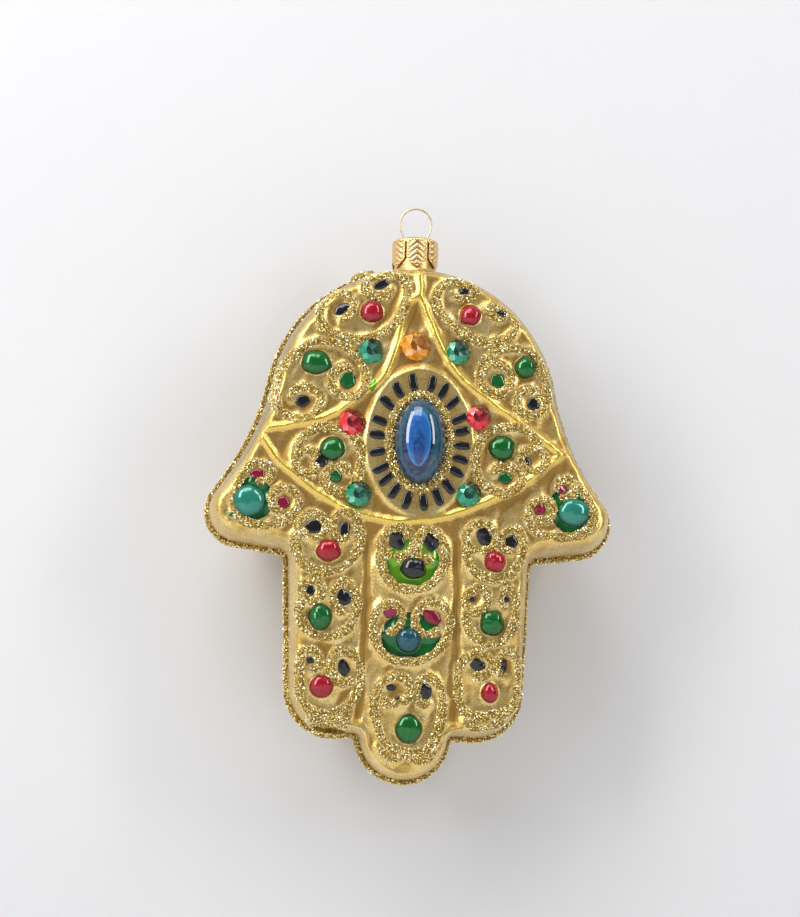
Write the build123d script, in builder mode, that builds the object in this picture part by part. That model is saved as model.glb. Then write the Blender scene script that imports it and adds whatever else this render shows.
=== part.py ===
from build123d import *
from math import asin, atan2, copysign, cos, degrees, radians, sin, sqrt, tan
import os

os.makedirs("parts", exist_ok=True)

# A blown glass hamsa hand with a crimped metal cap and a wire hanger, in millimetres.
# The origin is the hang point inside the top of the wire loop. +Z is up, the decorated face
# looks along -Y and +X is on the right of someone who looks at it.

# Outline of the hand, from the dome round the thumbs to the middle fingertip
hand_height = 107.2
dome_radius = 30.45
dome_end_angle = 10.7
flare_radius = 53.2
flare_angle = 33.7
flare_straight = 5.2
thumb_radius = 6.93
thumb_slope_angle = 8.0
palm_half_width = 25.4
thumb_corner_radius = 1.8
finger_half_width = 24.0
finger_corner_radius = 10.0
finger_corner_share = 0.75
finger_sag = 0.8
notch_radius = 0.9
notch_run = 1.7
middle_tip_radius = 9.6
middle_lean_angle = 12.0

# Thickness of the hand: a rolled side and a slightly crowned face
glass_wall = 0.9
side_depth = 13.5
side_inset = 5.4
side_power = 2.3
side_step_shares = (0.0, 0.3, 0.55, 0.75, 0.88, 0.965)
face_depth = 12.0
face_radius = 480.0
face_margin = 1.7
groove_width = 1.9
groove_depth = 1.0
mound_rise = 0.8
ridge_width = 1.6
ridge_rise = 0.8
root_depth = 0.45
overrun = 2.0

# Neck, cap and hanger
neck_radius = 4.35
neck_wall = 0.9
neck_height = 6.35
cap_clearance = 0.15
cap_wall = 0.3
cap_height = 6.3
cap_shoulder = 1.0
petal_count = 6
slit_width = 0.3
slit_start = 1.1
slit_length = 3.6
petal_tip_width = 0.7
wire_diameter = 0.45
wire_hole_clearance = 0.18
loop_inner_width = 6.1
loop_inner_height = 6.75
leg_spacing = 5.0
leg_length = 13.5
leg_splay = 0.5
leg_tip_run = 2.3
leg_bend_radius = 2.0
waist_share = 0.75

# Trim on the face
boss_radius = 2.5
boss_rise = 1.35
enamel_coat = 0.3
field_coat = 0.12
dot_radius = 1.35
curl_radius = 3.0
glitter_width = 1.7
glitter_rise = 0.6
trim_gap = 0.06
rope_width = 1.3
rope_rise = 0.55
amber_diameter = 6.1
stone_diameter = 5.3
stone_height = 2.0
stone_table = 2.5
stone_girdle = 0.4
stone_facets = 8
glue_gap = 0.05
cabochon_width = 10.5
cabochon_length = 17.6
cabochon_height = 4.6
cabochon_girdle = 0.5
eye_ring_width = 1.6
dash_width = 1.4
dash_reach_shares = (0.06, 0.93)
dash_angles = (
    77, 59, 42, 25, 11, -2, -15, -29, -46, -63, -82,
    -104, -124, -139, -154, -169, 176, 161, 143, 124, 102,
)
mound_width = 21.0
mound_length = 29.6

# Places on the face as shares, first to the right of the axis and then down. On the palm they
# are shares of the dome's radius and the palm's length
palm_share = 0.398
eye_share = (0.028, 0.628)
stone_shares = {
    "rhinestone_amber_top": (-0.011, 0.301),
    "rhinestone_green_upper_left": (-0.313, 0.324),
    "rhinestone_green_upper_right": (0.275, 0.315),
    "rhinestone_red_left": (-0.43, 0.571),
    "rhinestone_red_right": (0.419, 0.536),
    "rhinestone_green_lower_left": (-0.373, 0.811),
    "rhinestone_green_lower_right": (0.366, 0.798),
}
stem_shares = ((0.011, 0.026), (0.0, 0.07), (0.004, 0.116))
left_ridge_shares = (
    (0.004, 0.116), (-0.074, 0.16), (-0.123, 0.255), (-0.218, 0.401), (-0.398, 0.487),
    (-0.581, 0.549), (-0.736, 0.575), (-1.056, 0.617),
)
right_ridge_shares = (
    (0.004, 0.116), (0.046, 0.169), (0.162, 0.299), (0.285, 0.394), (0.514, 0.487),
    (0.767, 0.566), (0.993, 0.649),
)
lower_ridge_shares = (
    (-1.056, 0.617), (-0.919, 0.703), (-0.725, 0.784), (-0.486, 0.853), (-0.18, 0.895),
    (0.158, 0.883), (0.454, 0.828), (0.715, 0.765), (0.993, 0.649),
)

# Each motif: its boss, its curls with their enamel, its oval's middle, half width and half
# height, and whether enamel fills its field
palm_motif_shares = {
    "top_left": ((-0.317, 0.186), ((-0.514, 0.181, "black"), (-0.257, 0.09, "black")),
                 (-0.363, 0.167, 0.303, 0.106), False),
    "top_right": ((0.352, 0.183), ((0.31, 0.102, "black"), (0.57, 0.17, "black")),
                  (0.394, 0.169, 0.282, 0.098), False),
    "mid_left": ((-0.683, 0.369), ((-0.764, 0.503, "black"), (-0.465, 0.426, "green")),
                 (-0.641, 0.422, 0.275, 0.116), False),
    "mid_right": ((0.736, 0.355), ((0.796, 0.48, "black"), (0.549, 0.406, "green")),
                  (0.669, 0.411, 0.225, 0.111), False),
    "eye_left": ((-0.556, 0.661), ((-0.627, 0.705, "black"), (-0.528, 0.754, "green")),
                 (-0.598, 0.691, 0.218, 0.1), False),
    "eye_right": ((0.588, 0.635), ((0.753, 0.679, "black"), (0.613, 0.737, "green")),
                  (0.644, 0.677, 0.225, 0.1), False),
}

# On the thumbs they are shares of the way from the fingers' side out to the thumb's corner, and
# of the corner's depth
thumb_motif_shares = {
    "thumb_left": ((-0.413, 0.89), ((-0.347, 0.794, "maroon"), (-0.108, 0.892, "maroon")),
                   (-0.294, 0.864, 0.262, 0.104), True),
    "thumb_right": ((0.398, 0.886), ((0.282, 0.807, "maroon"), (0.085, 0.881, "maroon")),
                    (0.29, 0.873, 0.262, 0.098), True),
}

# Below the palm they are shares of the fingers' half width and of their length
finger_motif_shares = {
    "left_finger_1": ((-0.71, 0.005), ((-0.84, -0.097, "black"), (-0.581, -0.09, "black")),
                      (-0.719, -0.013, 0.295, 0.144), False),
    "left_finger_2": ((-0.759, 0.297), ((-0.855, 0.183, "black"), (-0.563, 0.207, "black")),
                      (-0.688, 0.277, 0.268, 0.139), False),
    "left_finger_3": ((-0.728, 0.599), ((-0.83, 0.485, "black"), (-0.545, 0.513, "black")),
                      (-0.679, 0.615, 0.259, 0.172), False),
    "middle_finger_1": ((0.013, 0.07), ((-0.13, -0.05, "black"), (0.16, -0.05, "black")),
                        (0.036, 0.042, 0.308, 0.148), True),
    "middle_finger_2": ((-0.009, 0.385), ((-0.165, 0.265, "maroon"), (0.188, 0.28, "maroon")),
                        (0.036, 0.367, 0.331, 0.139), True),
    "middle_finger_3": ((0.022, 0.77), ((-0.138, 0.592, "black"), (0.152, 0.608, "black")),
                        (0.0, 0.731, 0.295, 0.19), False),
    "right_finger_1": ((0.71, 0.026), ((0.61, -0.083, "black"), (0.84, -0.064, "black")),
                       (0.701, -0.013, 0.268, 0.139), False),
    "right_finger_2": ((0.701, 0.297), ((0.523, 0.193, "black"), (0.813, 0.189, "black")),
                       (0.706, 0.279, 0.264, 0.134), False),
    "right_finger_3": ((0.701, 0.601), ((0.59, 0.481, "black"), (0.808, 0.485, "black")),
                       (0.679, 0.606, 0.268, 0.172), False),
}
groove_shares = (
    ((-0.384, -0.032), (-0.384, 0.42), (-0.42, 0.838)),
    ((0.393, -0.032), (0.402, 0.42), (0.411, 0.838)),
)

# Levels and the crown, worked out from the sizes above
cap_top_z = -loop_inner_height
neck_top_z = cap_top_z - cap_wall
hand_top_z = neck_top_z - neck_height
cap_radius = neck_radius + cap_clearance + cap_wall
wire_radius = wire_diameter / 2
boss_ball = (boss_radius**2 + boss_rise**2) / (2 * boss_rise)
boss_sink = boss_ball - boss_rise
boss_foot = sqrt((boss_ball + enamel_coat) ** 2 - boss_sink**2)
hand_plane = Plane(origin=(0, 0, hand_top_z), x_dir=(1, 0, 0), z_dir=(0, -1, 0))

# The corner that each thumb is rounded from, and the crook between the thumb and the fingers
heading = radians(flare_angle)
flare_start = radians(dome_end_angle)
dome_end = Vector(cos(flare_start), sin(flare_start) - 1) * dome_radius
flare_way = Vector(cos(flare_start) - cos(heading), sin(flare_start) - sin(heading))
thumb_turn = 90 + flare_angle - thumb_slope_angle
thumb_run = flare_straight + thumb_radius * tan(radians(thumb_turn / 2))
flare_end = dome_end + flare_way * flare_radius
thumb_corner = flare_end + Vector(sin(heading), -cos(heading)) * thumb_run
slope_drop = (thumb_corner.X - palm_half_width) * tan(radians(thumb_slope_angle))
crook = Vector(palm_half_width, thumb_corner.Y - slope_drop)

# The palm's pattern ends at the crook, or higher up on a short hand. Each zone has its width,
# its length, its top and the side that its places start from
palm_length = min(-crook.Y, dome_radius + palm_share * (hand_height - dome_radius))
palm_zone = (dome_radius, palm_length, 0, 0)
thumb_zone = (thumb_corner.X - finger_half_width, -thumb_corner.Y, 0, finger_half_width)
finger_zone = (finger_half_width, hand_height - palm_length, palm_length, 0)


def at(share, zone=palm_zone):
    """A place on the hand's plane that is given as shares of a zone's width and length."""
    width, length, top, side = zone
    return Vector(share[0] * width + copysign(side, share[0]), -top - share[1] * length)


def line_at(shares, zone=palm_zone):
    """The places of a line that is given as shares of a zone."""
    return [at(share, zone) for share in shares]


eye_place = at(eye_share)
face_middle = hand_plane.from_local_coords(Vector(eye_place.X, eye_place.Y, face_depth - face_radius))


def hand_outline(inset):
    """The hand's outline drawn in by an inset, flat, with the top of the dome at zero."""
    lean = radians(middle_lean_angle)
    tip_drop = middle_tip_radius - hand_height
    lean_end = Vector(middle_tip_radius * cos(lean), tip_drop - middle_tip_radius * sin(lean))
    notch = lean_end + Vector(sin(lean), cos(lean)) * notch_run
    corner_radius = min(finger_corner_radius, finger_corner_share * (finger_half_width - notch.X))
    with BuildSketch() as face:
        with BuildLine():
            dome = CenterArc((0, -dome_radius), dome_radius, 90, dome_end_angle - 90)
            flare = JernArc(dome @ 1, dome % 1, flare_radius, flare_angle - dome_end_angle)
            finger_foot = Vector(finger_half_width, notch.Y - finger_sag)
            FilletPolyline(
                flare @ 1, thumb_corner, crook, finger_foot, notch, lean_end,
                radius=(thumb_radius, thumb_corner_radius, corner_radius, notch_radius),
            )
            CenterArc((0, tip_drop), middle_tip_radius, -middle_lean_angle, middle_lean_angle - 90)
            mirror(about=Plane.YZ)
        make_face()
        if inset:
            offset(amount=-inset, kind=Kind.ARC)
    return face.sketch_local


def rolled_half(wall):
    """The front half of the hand inside a wall, with its side rolled over to the face."""
    with BuildPart() as half:
        for share in side_step_shares:
            roll = side_inset * (1 - (1 - share**side_power) ** (1 / side_power))
            with BuildSketch(hand_plane.offset(share * (side_depth - wall))):
                add(hand_outline(wall + roll))
        loft()
    return half.part


def face_layer(flat, low, high):
    """What a flat shape covers between two levels over the crowned face."""
    with BuildPart() as layer:
        with BuildSketch(hand_plane):
            add(flat)
        extrude(amount=side_depth + overrun)
        with Locations(face_middle):
            Sphere(face_radius + high, mode=Mode.INTERSECT)
            Sphere(face_radius + low, mode=Mode.SUBTRACT)
    return layer.part


def face_seat(place):
    """A plane that lies on the crowned face at a place and looks out of it."""
    across = (place.X - eye_place.X) ** 2 + (place.Y - eye_place.Y) ** 2
    level = face_depth - face_radius + sqrt(face_radius**2 - across)
    seat = hand_plane.from_local_coords(Vector(place.X, place.Y, level))
    return Plane(origin=seat, x_dir=(1, 0, 0), z_dir=seat - face_middle)


def ball_caps(places, radius):
    """Balls that are sunk in the face at each place, all by the bosses' own depth."""
    with BuildPart() as caps:
        for place in places:
            with Locations(face_seat(place).offset(-boss_sink).origin):
                Sphere(radius)
    return caps.part


def strips(lines, width):
    """Flat strips of one width through lists of places, round at every place."""
    with BuildSketch() as strip:
        for line in lines:
            for start, end in zip(line, line[1:]):
                run = end - start
                with Locations(Location(start + run / 2, degrees(atan2(run.Y, run.X)))):
                    SlotCenterToCenter(run.length, width)
    return strip.sketch_local


def discs(places, radius):
    """Flat discs of one radius, one at each place."""
    with BuildSketch() as group:
        with Locations(places):
            Circle(radius)
    return group.sketch_local


def oval(width, length, middle=eye_place):
    """A flat upright oval round the eye or another place."""
    with BuildSketch() as egg:
        with Locations(middle):
            Ellipse(width / 2, length / 2)
    return egg.sketch_local


def write(piece, name):
    """Label a piece and write it under its own name."""
    piece.label = name
    export_step(piece, f"parts/{name}.step")


# Footprints that later pieces keep clear of
stone_diameters = {name: stone_diameter for name in stone_shares}
stone_diameters["rhinestone_amber_top"] = amber_diameter
ridge_shares = (stem_shares, left_ridge_shares, right_ridge_shares, lower_ridge_shares)
ridge_lines = [line_at(ridge) for ridge in ridge_shares]
groove_lines = [line_at(groove, finger_zone) for groove in groove_shares]
face_edge = hand_outline(face_margin)
motif_groups = (
    (palm_motif_shares, palm_zone),
    (thumb_motif_shares, thumb_zone),
    (finger_motif_shares, finger_zone),
)
motifs = {}
for group, zone in motif_groups:
    for name, (boss_share, curl_shares, oval_share, has_field) in group.items():
        motif_curls = [(at(curl[:2], zone), curl[2]) for curl in curl_shares]
        egg_size = (2 * oval_share[2] * zone[0], 2 * oval_share[3] * zone[1])
        egg_middle = at(oval_share[:2], zone)
        motifs[name] = (at(boss_share, zone), motif_curls, egg_middle, egg_size, has_field)
boss_places = [motif[0] for motif in motifs.values()]
curls = [curl for motif in motifs.values() for curl in motif[1]]
boss_feet = discs(boss_places, boss_foot + trim_gap)
dot_feet = discs([place for place, colour in curls], dot_radius + trim_gap)

with BuildSketch() as stone_feet:
    for name, share in stone_shares.items():
        add(discs([at(share)], stone_diameters[name] / 2 + trim_gap))

with BuildSketch() as ridge_face:
    add(strips(ridge_lines, ridge_width))
    add(face_edge, mode=Mode.INTERSECT)
    add(stone_feet.sketch_local, mode=Mode.SUBTRACT)

with BuildSketch() as mound_face:
    add(oval(mound_width, mound_length))
    add(stone_feet.sketch_local, mode=Mode.SUBTRACT)

with BuildSketch() as relief_feet:
    add(strips(ridge_lines, ridge_width + 2 * trim_gap))
    add(strips(groove_lines, groove_width + 2 * trim_gap))
    add(oval(mound_width + 2 * trim_gap, mound_length + 2 * trim_gap))
    add(stone_feet.sketch_local)

# Glass hand: one hollow shell whose back has the same moulded relief as its face
outer_half = rolled_half(0)
inner_half = rolled_half(glass_wall)
ridges = face_layer(ridge_face.sketch_local, -root_depth, ridge_rise)
mound = face_layer(mound_face.sketch_local, -root_depth, mound_rise)
groove_cuts = face_layer(strips(groove_lines, groove_width), -groove_depth, overrun)
groove_walls = face_layer(
    strips(groove_lines, groove_width + 2 * glass_wall), -groove_depth - glass_wall, overrun
)
bosses = ball_caps(boss_places, boss_ball)

with BuildPart() as hollow:
    add(inner_half)
    with Locations(face_middle):
        Sphere(face_radius - glass_wall, mode=Mode.INTERSECT)
    add(groove_walls, mode=Mode.SUBTRACT)
    mirror(about=Plane.XZ)

with BuildPart() as boss_caps:
    add(bosses)
    with Locations(face_middle):
        Sphere(face_radius - root_depth, mode=Mode.SUBTRACT)

with BuildPart() as glass_body:
    add(outer_half)
    with Locations(face_middle):
        Sphere(face_radius, mode=Mode.INTERSECT)
    add(groove_cuts, mode=Mode.SUBTRACT)
    add(ridges)
    add(mound)
    add(boss_caps.part)
    mirror(about=Plane.XZ)
    with BuildSketch(Plane.XY.offset(hand_top_z - glass_wall)):
        Circle(neck_radius)
    extrude(amount=neck_height + glass_wall)
    fillet(glass_body.edges().sort_by(Axis.Z)[-1], radius=cap_shoulder - cap_wall)
    add(hollow.part, mode=Mode.SUBTRACT)
    with BuildSketch(Plane.XY.offset(neck_top_z)):
        Circle(neck_radius - neck_wall)
    extrude(amount=-neck_height - 2 * overrun, mode=Mode.SUBTRACT)
write(glass_body.part, "glass_body")

# Glitter rope on the seam, open where the neck stands
with BuildPart() as seam_glitter_rope:
    with BuildSketch(hand_plane.offset(-rope_width / 2)):
        add(hand_outline(-rope_rise))
        add(hand_outline(-trim_gap / 2), mode=Mode.SUBTRACT)
        Rectangle(2 * (cap_radius + rope_rise), 2 * cap_radius, mode=Mode.SUBTRACT)
    extrude(amount=rope_width)
write(seam_glitter_rope.part, "seam_glitter_rope")

# Cap: a pressed cup whose skirt is slit into pointed petals
with BuildPart() as cap:
    with BuildSketch(Plane.XY.offset(cap_top_z)):
        Circle(cap_radius)
    extrude(amount=-cap_height)
    fillet(cap.faces().sort_by(Axis.Z)[-1].edges(), radius=cap_shoulder)
    offset(amount=-cap_wall, openings=cap.faces().sort_by(Axis.Z)[0])
    with BuildSketch(Plane.XY.offset(cap_top_z)):
        with GridLocations(leg_spacing, 0, 2, 1):
            Circle(wire_radius + wire_hole_clearance)
    extrude(amount=-2 * cap_wall, mode=Mode.SUBTRACT)
    petal_half = cap_radius * sin(radians(180 / petal_count)) - petal_tip_width / 2
    for petal in range(petal_count):
        angle = radians(petal * 360 / petal_count)
        radial = Vector(cos(angle), sin(angle), 0)
        slit_plane = Plane(origin=(0, 0, cap_top_z), x_dir=Vector(0, 0, 1).cross(radial), z_dir=radial)
        with BuildSketch(slit_plane):
            with Locations((0, -slit_start - slit_length / 2)):
                Rectangle(slit_width, slit_length)
            with BuildLine():
                Polyline(
                    (-slit_width / 2, -slit_start - slit_length),
                    (slit_width / 2, -slit_start - slit_length),
                    (petal_half, -cap_height),
                    (-petal_half, -cap_height),
                    close=True,
                )
            make_face()
        extrude(amount=cap_radius + overrun, mode=Mode.SUBTRACT)
write(cap.part, "cap")

# Hanger: one spring wire, a round loop over the cap and two legs inside the neck
loop_radius = loop_inner_width / 2 + wire_radius
loop_waist_z = wire_radius - loop_radius
pinch = loop_radius - leg_spacing / 2
pinch_drop = loop_waist_z - cap_top_z - wire_diameter
pinch_angle = 2 * degrees(asin(pinch / sqrt(pinch**2 + pinch_drop**2)))
pinch_radius = pinch_drop / sin(radians(pinch_angle))
leg_foot_z = cap_top_z - leg_length
splay_z = hand_top_z - glass_wall
with BuildPart() as hanger_wire:
    with BuildLine(Plane.XZ) as wire_path:
        top_arc = CenterArc((0, loop_waist_z), loop_radius, 90, -90)
        waist_in = JernArc(top_arc @ 1, (0, -1), waist_share * pinch_radius, -pinch_angle)
        waist_out = JernArc(
            waist_in @ 1, waist_in % 1, (1 - waist_share) * pinch_radius, pinch_angle
        )
        FilletPolyline(
            waist_out @ 1,
            (leg_spacing / 2, splay_z),
            (leg_spacing / 2 + leg_splay, leg_foot_z + leg_tip_run),
            (leg_spacing / 2 + leg_splay / 2, leg_foot_z),
            radius=leg_bend_radius,
        )
    with BuildSketch(Plane(origin=(0, 0, wire_radius), z_dir=(1, 0, 0))):
        Circle(wire_radius)
    sweep(path=wire_path.line)
    mirror(about=Plane.YZ)
write(hanger_wire.part, "hanger_wire")

# Rhinestones: a flat back, a round girdle and facets up to a table
for name, share in stone_shares.items():
    scale_share = stone_diameters[name] / stone_diameter
    radius = stone_diameters[name] / 2
    height = stone_height * scale_share
    girdle = stone_girdle * scale_share
    table = stone_table * scale_share / 2
    seat = face_seat(at(share)).offset(glue_gap)
    flat = radius * cos(radians(180 / stone_facets))
    with BuildPart() as rhinestone:
        with BuildSketch(seat):
            Circle(radius)
        extrude(amount=height)
        for facet in range(stone_facets):
            angle = radians((facet + 0.5) * 360 / stone_facets)
            outward = seat.x_dir * cos(angle) + seat.y_dir * sin(angle)
            edge = seat.origin + outward * flat + seat.z_dir * girdle
            normal = outward * (height - girdle) + seat.z_dir * (flat - table)
            split(bisect_by=Plane(origin=edge, z_dir=normal), keep=Keep.BOTTOM)
    write(rhinestone.part, name)

# Eye cabochon: an oval dome on a thin girdle, seated on the mound
with BuildPart() as unit_dome:
    Sphere(1)
    scale(by=(cabochon_width / 2, cabochon_height - cabochon_girdle, cabochon_length / 2))
eye_seat = face_seat(eye_place).offset(mound_rise + glue_gap)
with BuildPart() as eye_cabochon:
    with Locations(eye_seat.offset(cabochon_girdle).origin):
        add(unit_dome.part)
    split(bisect_by=eye_seat.offset(cabochon_girdle), keep=Keep.TOP)
    with BuildSketch(eye_seat):
        Ellipse(cabochon_width / 2, cabochon_length / 2)
    extrude(amount=cabochon_girdle)
write(eye_cabochon.part, "eye_cabochon")

# Glitter ring round the cabochon, and the lashes: short enamel dashes that point at it
ring_gap = 2 * trim_gap
ring_grow = ring_gap + 2 * eye_ring_width
with BuildSketch() as eye_ring:
    add(oval(cabochon_width + ring_grow, cabochon_length + ring_grow))
    add(oval(cabochon_width + ring_gap, cabochon_length + ring_gap), mode=Mode.SUBTRACT)
write(face_layer(eye_ring.sketch_local, mound_rise, mound_rise + glitter_rise), "eye_glitter_ring")

with BuildSketch() as dashes:
    for angle in dash_angles:
        way = Vector(cos(radians(angle)), sin(radians(angle)))
        ring_point = Vector(way.X * (cabochon_width + ring_grow), way.Y * (cabochon_length + ring_grow)) / 2
        rim_point = Vector(way.X * mound_width, way.Y * mound_length) / 2
        dash_start = ring_point + (rim_point - ring_point) * dash_reach_shares[0]
        dash_end = ring_point + (rim_point - ring_point) * dash_reach_shares[1]
        dash_run = dash_end - dash_start
        place = eye_place + (dash_start + dash_end) / 2
        with Locations(Location(place, degrees(atan2(dash_run.Y, dash_run.X)))):
            SlotOverall(dash_run.length, dash_width)
    add(stone_feet.sketch_local, mode=Mode.SUBTRACT)
write(face_layer(dashes.sketch_local, mound_rise, mound_rise + enamel_coat), "eye_lash_dashes")

# Enamel dots inside the curls of the glitter lines, one group for each colour
for colour in ("black", "maroon", "green"):
    with BuildSketch() as dots:
        add(discs([place for place, paint in curls if paint == colour], dot_radius))
        add(relief_feet.sketch_local, mode=Mode.SUBTRACT)
        add(boss_feet, mode=Mode.SUBTRACT)
        add(face_edge, mode=Mode.INTERSECT)
    write(face_layer(dots.sketch_local, 0, enamel_coat), f"enamel_{colour}_dots")

# Motifs: each has one glitter line and one enamelled boss, with its field where it has one
for name, (boss_place, motif_curls, egg_middle, egg_size, has_field) in motifs.items():
    egg_width, egg_length = egg_size
    field_oval = oval(egg_width - 2 * glitter_width, egg_length - 2 * glitter_width, egg_middle)
    curl_places = [place for place, colour in motif_curls]
    with BuildSketch() as glitter:
        add(oval(egg_width, egg_length, egg_middle))
        add(field_oval, mode=Mode.SUBTRACT)
        add(discs(curl_places, curl_radius))
        add(dot_feet, mode=Mode.SUBTRACT)
        add(relief_feet.sketch_local, mode=Mode.SUBTRACT)
        add(boss_feet, mode=Mode.SUBTRACT)
        add(face_edge, mode=Mode.INTERSECT)
    write(face_layer(glitter.sketch_local, 0, glitter_rise), f"glitter_{name}")

    with BuildPart() as enamel:
        add(ball_caps([boss_place], boss_ball + enamel_coat))
        with Locations(face_seat(boss_place).offset(-boss_sink).origin):
            Sphere(boss_ball, mode=Mode.SUBTRACT)
        with Locations(face_middle):
            Sphere(face_radius, mode=Mode.SUBTRACT)
        if has_field:
            with BuildSketch() as field:
                add(field_oval)
                add(discs(curl_places, curl_radius + trim_gap), mode=Mode.SUBTRACT)
                add(relief_feet.sketch_local, mode=Mode.SUBTRACT)
                add(boss_feet, mode=Mode.SUBTRACT)
                add(face_edge, mode=Mode.INTERSECT)
            add(face_layer(field.sketch_local, 0, field_coat))
    write(enamel.part, f"enamel_{name}")
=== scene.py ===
import bmesh
import bpy
import math
import numpy as np
from mathutils import Matrix, Vector
from mathutils.geometry import delaunay_2d_cdt


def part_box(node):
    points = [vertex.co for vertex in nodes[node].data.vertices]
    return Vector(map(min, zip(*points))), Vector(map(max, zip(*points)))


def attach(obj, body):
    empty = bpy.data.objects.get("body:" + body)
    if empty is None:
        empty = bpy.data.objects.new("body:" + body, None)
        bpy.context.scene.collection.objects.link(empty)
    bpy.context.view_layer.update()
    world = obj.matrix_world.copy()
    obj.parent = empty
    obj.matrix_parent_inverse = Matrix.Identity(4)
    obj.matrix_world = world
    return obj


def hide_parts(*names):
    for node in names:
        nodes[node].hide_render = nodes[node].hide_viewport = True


# A mouth-blown glass hamsa hand: silvered, lacquered in matte gold, trimmed with stones, enamel and glitter.
# Sizes are in millimetres and turned into metres when a mesh is made. A place on the face is given
# to the right of the middle and down from the top of the hand.
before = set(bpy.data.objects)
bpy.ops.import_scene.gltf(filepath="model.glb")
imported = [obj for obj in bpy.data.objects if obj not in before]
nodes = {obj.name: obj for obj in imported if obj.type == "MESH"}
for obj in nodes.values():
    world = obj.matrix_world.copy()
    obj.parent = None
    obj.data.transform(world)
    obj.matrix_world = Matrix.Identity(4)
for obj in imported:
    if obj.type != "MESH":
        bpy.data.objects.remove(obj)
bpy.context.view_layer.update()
toMetres = 0.001

handSizes = {
    "handTop": -13.4, "handHeight": 107.2, "domeRadius": 30.45, "domeEnd": 10.7, "flareRadius": 53.2,
    "flareAngle": 33.7, "flareStraight": 5.2, "thumbRadius": 6.93, "thumbSlope": 8.0,
    "palmHalf": 25.4, "thumbCorner": 1.8, "fingerHalf": 24.0, "fingerCorner": 10.0, "fingerSag": 0.8,
    "notchRadius": 0.9, "notchRun": 1.7, "tipRadius": 9.6, "tipLean": 12.0,
    "sideDepth": 13.5, "sideInset": 5.4, "sidePower": 2.3, "faceDepth": 12.0, "faceRadius": 480.0,
    "ropeShare": 0.55,
}
eyePlace = (0.85, 38.28)
ridgePoints = (
    ((0.3, 0.2), (0.1, 3.2), (0.12, 7.07), (-2.25, 9.75), (-3.75, 15.55), (-6.64, 24.45), (-12.12, 29.69),
     (-17.69, 33.47), (-22.41, 35.05), (-32.16, 36.9)),
    ((0.12, 7.07), (1.4, 10.3), (4.93, 18.23), (8.68, 24.02), (15.65, 29.69), (23.36, 34.51),
     (30.24, 39.57)),
    ((-32.16, 36.9), (-27.98, 42.86), (-22.08, 47.8), (-14.8, 52.0), (-5.48, 54.56), (4.81, 53.83),
     (13.82, 50.48), (21.77, 46.64), (30.24, 39.57)),
)
groovePoints = (
    ((-9.2, 58.5), (-9.2, 69.0), (-9.25, 80.4), (-10.0, 99.7)),
    ((9.4, 58.5), (9.5, 69.0), (9.65, 80.4), (9.9, 99.7)),
)
# each motif: the place and half sizes of its boss, and the lacquer that covers it
bosses = {
    "top_left": ((-9.65, 11.34), (2.5, 2.45), "red"), "top_right": ((10.72, 11.16), (2.35, 2.3), "red"),
    "mid_left": ((-20.8, 22.5), (3.2, 2.65), "green"), "mid_right": ((22.41, 21.64), (2.3, 2.4), "green"),
    "eye_left": ((-16.93, 40.3), (2.7, 2.6), "green"), "eye_right": ((17.9, 38.71), (2.9, 2.6), "green"),
    "thumb_left": ((-33.47, 51.56), (3.3, 3.3), "teal"), "thumb_right": ((33.13, 51.33), (3.3, 3.0), "teal"),
    "left_finger_1": ((-17.04, 61.19), (2.65, 2.3), "red"),
    "left_finger_2": ((-18.22, 74.7), (2.55, 2.7), "green"),
    "left_finger_3": ((-17.47, 88.66), (2.5, 2.4), "red"),
    "middle_finger_1": ((0.31, 64.2), (2.7, 2.3), "black"),
    "middle_finger_2": ((-0.22, 78.76), (2.6, 2.6), "deepTeal"),
    "middle_finger_3": ((0.53, 96.57), (2.9, 3.0), "green"),
    "right_finger_1": ((17.04, 62.17), (2.3, 2.3), "red"),
    "right_finger_2": ((16.82, 74.7), (2.6, 2.7), "green"),
    "right_finger_3": ((16.82, 88.75), (1.85, 2.2), "red"),
}
# patches of clear lacquer over the gold, each with its half sizes
fields = {
    "thumb_left": (((-32.6, 51.2), (4.3, 4.4), "green"), ((-36.6, 54.4), (1.3, 0.5), "green")),
    "thumb_right": (((32.4, 50.9), (4.6, 4.6), "green"), ((36.3, 53.2), (0.9, 1.1), "green")),
    "middle_finger_1": (((0.2, 62.9), (5.3, 4.9), "lime"),),
    "middle_finger_2": (((0.4, 77.9), (6.3, 4.7), "green"),),
    "mid_left": (((-9.2, 26.6), (0.8, 1.5), "lime"),),
}
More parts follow.
